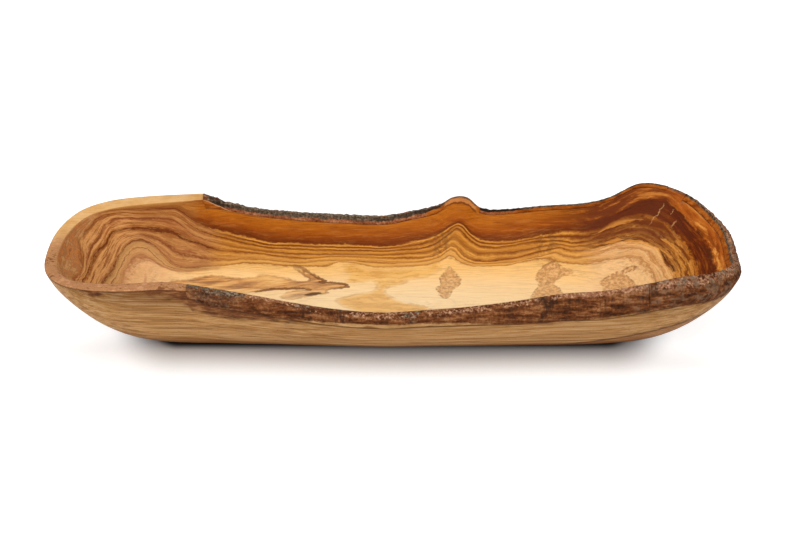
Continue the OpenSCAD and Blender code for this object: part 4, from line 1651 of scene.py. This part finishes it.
    def build(self) -> bpy.types.Object:
        """Build the bowl's mesh, dress it and put it in the frame.

        Returns:
            The finished piece.
        """
        s = self.stations()
        stack, kinds, depths = self.rings(s)
        stack = self.soften(stack, kinds)
        marks = self.marks(s, stack, kinds, depths)
        points = np.vstack([stack.reshape(-1, 3), [[0, 0, 0], [0, 0, self.form.floor_height]]])
        faces = lattice(stack, True)
        count = stack.shape[1]
        under, over, inner = len(points) - 2, len(points) - 1, (len(kinds) - 1) * count
        for k in range(count):
            after = (k + 1) % count
            faces.append((under, k, after))
            faces.append((over, inner + after, inner + k))
        marks = {name: np.append(values, [values[0], values[-1]]) for name, values in marks.items()}
        piece = make_piece("carved_bowl", points, faces, marks)
        piece.data.materials.append(self.wood.material())
        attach(piece, "root")
        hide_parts(self.node)
        return piece


@dataclass
class BarkLine:
    """A line of points along a strip of bark, with what its finish reads there.

    Attributes:
        points: The points, in metres.
        band: How far across the top it is, 1 at the outer edge.
        cut_face: How far down the side towards the hollow it is, 1 at the wood.
        crack_shade: How much painted shade darkens it, in a crack or the notch.
        above: How far above the wood it is on the outside, in millimetres.
    """

    points: np.ndarray
    band: float = 0.0
    cut_face: float = 0.0
    crack_shade: np.ndarray | float = 0.0
    above: float = FAR


@dataclass(frozen=True)
class BarkStrip:
    """One run of bark on the rim.

    Attributes:
        form: The bowl's shape.
        run: The run of the rim.
        finish: The bark's material.
        spacing_share: Distance between stations, as a share of the way round.
        taper_share: Length of the tapering ends, as a share of the way round.
        inner_lines: Number of lines up the inner side.
        top_lines: Number of lines across the top.
        outer_lines: Number of lines down the outer side.
        seat_shares: Places across the rim of the lines that lie on the wood.
        inner_fall: How much of the cut's value is lost up the inner side.
        bump_scale: Bumps per metre.
        cell_scale: Cracked cells per metre.
        relief: Height of the bumps, in millimetres.
        notch_width: Width of the notch, in rows of the rim.
        notch_depth: Its depth, in heights of the bumps.
    """

    form: BowlForm
    run: Run
    finish: bpy.types.Material
    spacing_share: float = 1 / 1400
    taper_share: float = 0.006
    inner_lines: int = 7
    top_lines: int = 21
    outer_lines: int = 6
    seat_shares: tuple[float, ...] = (0.25, 0.5, 0.75)
    inner_fall: float = 0.9
    bump_scale: float = 420.0
    cell_scale: float = 240.0
    relief: float = 0.9
    notch_width: float = 0.13
    notch_depth: float = 2.2

    def looks(self, way: np.ndarray) -> dict[str, np.ndarray]:
        """Read how the bark looks at shares of the way round.

        Args:
            way: Shares of the way round.

        Returns:
            One value for each station, by name.
        """
        rows = [look.row for look in LOOKS]
        names = ("crust", "soot", "flesh", "rough", "strip")
        return {name: np.interp(way * ROWS, rows, [getattr(look, name) for look in LOOKS]) for name in names}

    def top_line(self, s: Section, t: float, rough: np.ndarray, taper: np.ndarray) -> BarkLine:
        """Lay a line along the bark's top, with its bumps, its cracks, the notch and the painted shade in
        them.

        Args:
            s: The stations.
            t: Share of the way from the outer to the inner edge.
            rough: How rough the bark is at each station.
            taper: Share of the full relief at each station.

        Returns:
            The line.
        """
        skin, up = self.form.across(s, t, True)
        skin = skin - up * ((1 - taper) * self.form.crust_crown * 4 * t * (1 - t))[:, None]
        bumps = ripple(skin, (self.bump_scale,) * 3, 4, 3.1) * 0.7
        cells = ridges(skin, self.cell_scale, 9.0)
        edge = 1 - abs(2 * t - 1) ** 6
        notch = np.exp(-(((s.way * ROWS - NOTCH_ROW) / self.notch_width) ** 2))
        height = (bumps + (cells - 0.6) * 0.35) * (0.3 + 0.7 * edge) * (0.25 + 0.75 * rough)
        height = height * (0.3 + 0.7 * taper) - notch * self.notch_depth * np.clip((t - 0.3) / 0.3, 0, 1)
        # Painted shade in the cracks between the cells and in the notch
        crack_shade = np.maximum((1 - cells) * rough * edge * 0.6, notch * (t > 0.4))
        return BarkLine(skin + up * (height * self.relief * MM)[:, None], band=1 - t, crack_shade=crack_shade)

    def lines(self, s: Section, rough: np.ndarray, taper: np.ndarray) -> list[BarkLine]:
        """Lay out the lines of points round the strip, from the wood's lip over the top and back under.

        Args:
            s: The stations.
            rough: How rough the bark is at each station.
            taper: Share of the full relief at each station.

        Returns:
            The lines, in order.
        """
        form = self.form
        wood_out, wood_in = form.across(s, 0.0, False)[0], form.across(s, 1.0, False)[0]
        bark_out, bark_in = form.across(s, 0.0, True)[0], form.across(s, 1.0, True)[0]
        lines = []
        for t in np.linspace(0, 1, self.inner_lines)[:-1]:
            lines.append(BarkLine(mix(wood_in, bark_in, t), cut_face=1 - self.inner_fall * t))
        for t in np.linspace(1, 0, self.top_lines):
            lines.append(self.top_line(s, t, rough, taper))
        for t in np.linspace(1, 0, self.outer_lines)[1:]:
            lines.append(BarkLine(mix(wood_out, bark_out, t), band=1.0, above=t * self.run.bark / MM))
        for t in self.seat_shares:
            lines.append(BarkLine(form.across(s, t, False)[0], cut_face=1.0))
        return lines

    def build(self) -> bpy.types.Object:
        """Build the strip's mesh, dress it and put it in the frame.

        Returns:
            The finished piece.
        """
        form, run = self.form, self.run
        first, last = run.start_share + form.seam_share, run.end_share - form.seam_share
        count = round((last - first) / self.spacing_share) + 1
        s = form.section(np.linspace(first, last, count), run.bark)
        looks = self.looks(s.way)

        # An end tapers and changes colour only where no other strip goes on
        joined_start = run.start_share % 1 in {other.end_share % 1 for other in RUNS if other.node}
        joined_end = run.end_share % 1 in {other.start_share % 1 for other in RUNS if other.node}
        before = np.ones(count) if joined_start else (s.way - first) / self.taper_share
        after = np.ones(count) if joined_end else (last - s.way) / self.taper_share
        lines = self.lines(s, looks["rough"], np.clip(np.minimum(before, after), 0, 1))

        # The last line closes to the first, and a face closes each end
        stack = np.array([line.points for line in lines])
        total = len(lines)
        faces = lattice(np.concatenate([stack, stack[:1]]), False)
        faces = [tuple(k % (total * count) for k in face) for face in faces]
        faces.append(tuple(k * count for k in range(total)))
        faces.append(tuple(k * count + count - 1 for k in reversed(range(total))))
        marks = {name: np.tile(looks[name], total) for name in ("crust", "soot", "flesh", "strip")}
        marks["stain"] = np.tile(stain_reach(s.way), total)
        for name in ("band", "cut_face", "crack_shade", "above"):
            marks[name] = np.concatenate([np.full(count, getattr(line, name)) for line in lines])
        gaps = np.linalg.norm(np.diff(s.edge[:, :2], axis=0), axis=1) / MM
        along = np.concatenate([[0], np.cumsum(gaps)])
        from_start = np.full(count, FAR) if joined_start else along
        from_end = np.full(count, FAR) if joined_end else along[-1] - along
        marks["from_end"] = np.tile(np.minimum(from_start, from_end), total)
        piece = make_piece(f"{run.node}_piece", stack.reshape(-1, 3), faces, marks)
        for face in piece.data.polygons[-2:]:
            face.use_smooth = False
        piece.data.materials.append(self.finish)
        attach(piece, "root")
        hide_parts(run.node)
        return piece


@dataclass(frozen=True)
class Lamp:
    """A wide even lamp far away.

    Attributes:
        name: Its name.
        toward: Direction in which it hangs, seen from the bowl.
        spread: How wide it looks from the bowl, in degrees.
        strength: Its strength.
    """

    name: str
    toward: tuple[float, float, float]
    spread: float
    strength: float

    def build(self) -> bpy.types.Object:
        """Hang the lamp.

        Returns:
            The lamp.
        """
        data = bpy.data.lights.new(self.name, "SUN")
        data.angle, data.energy = math.radians(self.spread), self.strength
        lamp = bpy.data.objects.new(self.name, data)
        lamp.matrix_world = Vector(self.toward).to_track_quat("Z", "Y").to_matrix().to_4x4()
        bpy.context.scene.collection.objects.link(lamp)
        return lamp


@dataclass(frozen=True)
class Studio:
    """A pale floor, a white surround, soft lamps and the photo's camera.

    Attributes:
        tilt: How far down the camera looks, in degrees.
        distance: Its distance from what it aims at.
        aim: What it aims at.
        pixels_per_metre: Size of a metre there, in the picture's pixels.
        picture_width: Width of the picture, in pixels.
        sensor: Width of the camera's sensor, in its own millimetres.
        clip: Nearest and farthest distance that the camera sees.
        lamps: The lamps.
        world_light: Strength of the surround's light.
        world_tint: Colour of that light.
        floor_half: Half the floor's side.
        core: Half length and half width of the painted shadow's core, in millimetres.
        core_margin: How far the core reaches round that.
        core_stretch: How much faster the painted shadow fades past the bowl's ends than beside it.
        floor_glow: The floor's own light away from the bowl, fading out towards the bowl as painted shadow.
        end_glow: Painted light: how much more the floor glows beside the bowl's ends, which lightens the
            shadow there.
        floor_shade: Lightness of the floor away from the bowl, over painted_shadow_tone.
        painted_shadow_tone: Painted shadow: lightness of the floor close round the bowl's foot.
        bounce: Lightness of the floor as the bowl sees it.
    """

    tilt: float = 27.0
    distance: float = 1500 * MM
    aim: tuple[float, float, float] = (4.4 * MM, 0.0, 34 * MM)
    pixels_per_metre: float = 1732.5
    picture_width: int = 800
    sensor: float = 36.0
    clip: tuple[float, float] = (0.05, 50.0)
    lamps: tuple[Lamp, ...] = (
        Lamp("high_lamp", (-0.25, -0.30, 1.0), 60.0, 1.45),
        Lamp("front_lamp", (-0.2, -1.0, 0.42), 50.0, 0.9),
    )
    world_light: float = 0.48
    world_tint: Colour = (1, 0.99, 0.975, 1)
    floor_half: float = 6.0
    core: tuple[float, float] = (122.0, 10.0)
    core_margin: float = 18.0
    core_stretch: float = 1.6
    floor_glow: float = 0.5
    end_glow: float = 0.3
    floor_shade: float = 0.61
    painted_shadow_tone: float = 0.04
    bounce: float = 0.8

    def camera(self) -> bpy.types.Object:
        """Place the camera where the photo was taken from.

        Returns:
            The camera.
        """
        data = bpy.data.cameras.new("photo_camera")
        data.sensor_width = self.sensor
        focal_pixels = self.pixels_per_metre * self.distance
        data.lens = focal_pixels / self.picture_width * self.sensor
        data.clip_start, data.clip_end = self.clip
        camera = bpy.data.objects.new("photo_camera", data)
        slope = math.radians(self.tilt)
        back = Vector((0, -math.cos(slope), math.sin(slope)))
        place = Vector(self.aim) + back * self.distance
        camera.matrix_world = Matrix.Translation(place) @ back.to_track_quat("Z", "Y").to_matrix().to_4x4()
        bpy.context.scene.collection.objects.link(camera)
        bpy.context.scene.camera = camera
        return camera

    @staticmethod
    def shown(g: Graph) -> Signal:
        """Find where the background itself is seen, straight on, in a reflection or through glass.

        Args:
            g: The nodes of the background.

        Returns:
            1 there and 0 where it only lights the bowl.
        """
        rays = g.node("ShaderNodeLightPath", {}, {})
        names = ("Is Camera Ray", "Is Glossy Ray", "Is Transmission Ray")
        camera, glossy, through = (Signal(g, rays.outputs[name]) for name in names)
        return camera.high(glossy).high(through)

    def surround(self) -> None:
        """Make the world white to the camera and to reflections, and a soft even light to the bowl."""
        world = bpy.data.worlds.new("studio_world")
        world.use_nodes = True
        world.node_tree.nodes.clear()
        g = Graph.over(world.node_tree)
        seen = g.add("ShaderNodeBackground", {}, {"Color": (1, 1, 1, 1), "Strength": 1.0})
        light = g.add("ShaderNodeBackground", {}, {"Color": self.world_tint, "Strength": self.world_light})
        both = g.add("ShaderNodeMixShader", {}, {0: self.shown(g), 1: light, 2: seen})
        g.node("ShaderNodeOutputWorld", {}, {"Surface": both})
        bpy.context.scene.world = world

    def floor(self) -> bpy.types.Object:
        """Lay a pale floor with the bowl's soft shadow, painted shadow near it and painted light by its ends.

        Returns:
            The floor.
        """
        half = self.floor_half
        points = np.array([(-half, -half, 0), (half, -half, 0), (half, half, 0), (-half, half, 0)])
        floor = make_piece("studio_floor", points, [(0, 1, 2, 3)], {})
        g = Graph("studio_floor")
        x, y, _ = g.axes(g.place())
        past_end = ((abs(x) - self.core[0]) * self.core_stretch).high(0.0)
        past_side = (abs(y) - self.core[1]).high(0.0)
        away = (past_end * past_end + past_side * past_side) ** 0.5 - self.core_margin
        # Painted light beside the bowl's ends, and painted shadow where the glow fades out towards the bowl
        ends = abs(x).step(120.0, 155.0) * (y + x * 0.05).step(-50.0, -20.0)
        glow_with_painted_shadow = away.step(1.0, 50.0) * (self.floor_glow + ends * self.end_glow)
        glow = g.add("ShaderNodeEmission", {}, {"Color": g.vector(glow_with_painted_shadow, glow_with_painted_shadow, glow_with_painted_shadow), "Strength": 1.0})
        # Painted shadow: the floor's colour darkens to nearly black close round the bowl's foot
        tone_with_painted_shadow = away.step(2.5, 11.0) * self.floor_shade + self.painted_shadow_tone
        cloth = g.add("ShaderNodeBsdfDiffuse", {}, {"Color": g.vector(tone_with_painted_shadow, tone_with_painted_shadow, tone_with_painted_shadow)})
        seen = g.add("ShaderNodeAddShader", {}, {0: glow, 1: cloth})
        plain = g.add("ShaderNodeBsdfDiffuse", {}, {"Color": (self.bounce, self.bounce, self.bounce, 1)})
        both = g.add("ShaderNodeMixShader", {}, {0: self.shown(g), 1: plain, 2: seen})
        g.node("ShaderNodeOutputMaterial", {}, {"Surface": both})
        floor.data.materials.append(g.material)
        return floor

    def build(self) -> None:
        """Build the whole studio."""
        self.camera()
        self.surround()
        self.floor()
        for lamp in self.lamps:
            lamp.build()
        bpy.context.scene.view_settings.view_transform = "Standard"


def main() -> None:
    """Build the studio, the bowl and its bark, and note the sizes."""
    logging.basicConfig(level=logging.INFO, format="%(name)s: %(message)s")
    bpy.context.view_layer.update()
    form = BowlForm()
    Studio().build()
    piece = BowlBody(form, OliveWood()).build()
    log.info("%s has %d faces", piece.name, len(piece.data.polygons))
    bark = BarkFinish().material()
    for run in RUNS:
        if run.node:
            piece = BarkStrip(form, run, bark).build()
            log.info("%s has %d faces", piece.name, len(piece.data.polygons))


if __name__ == "__main__":
    main()
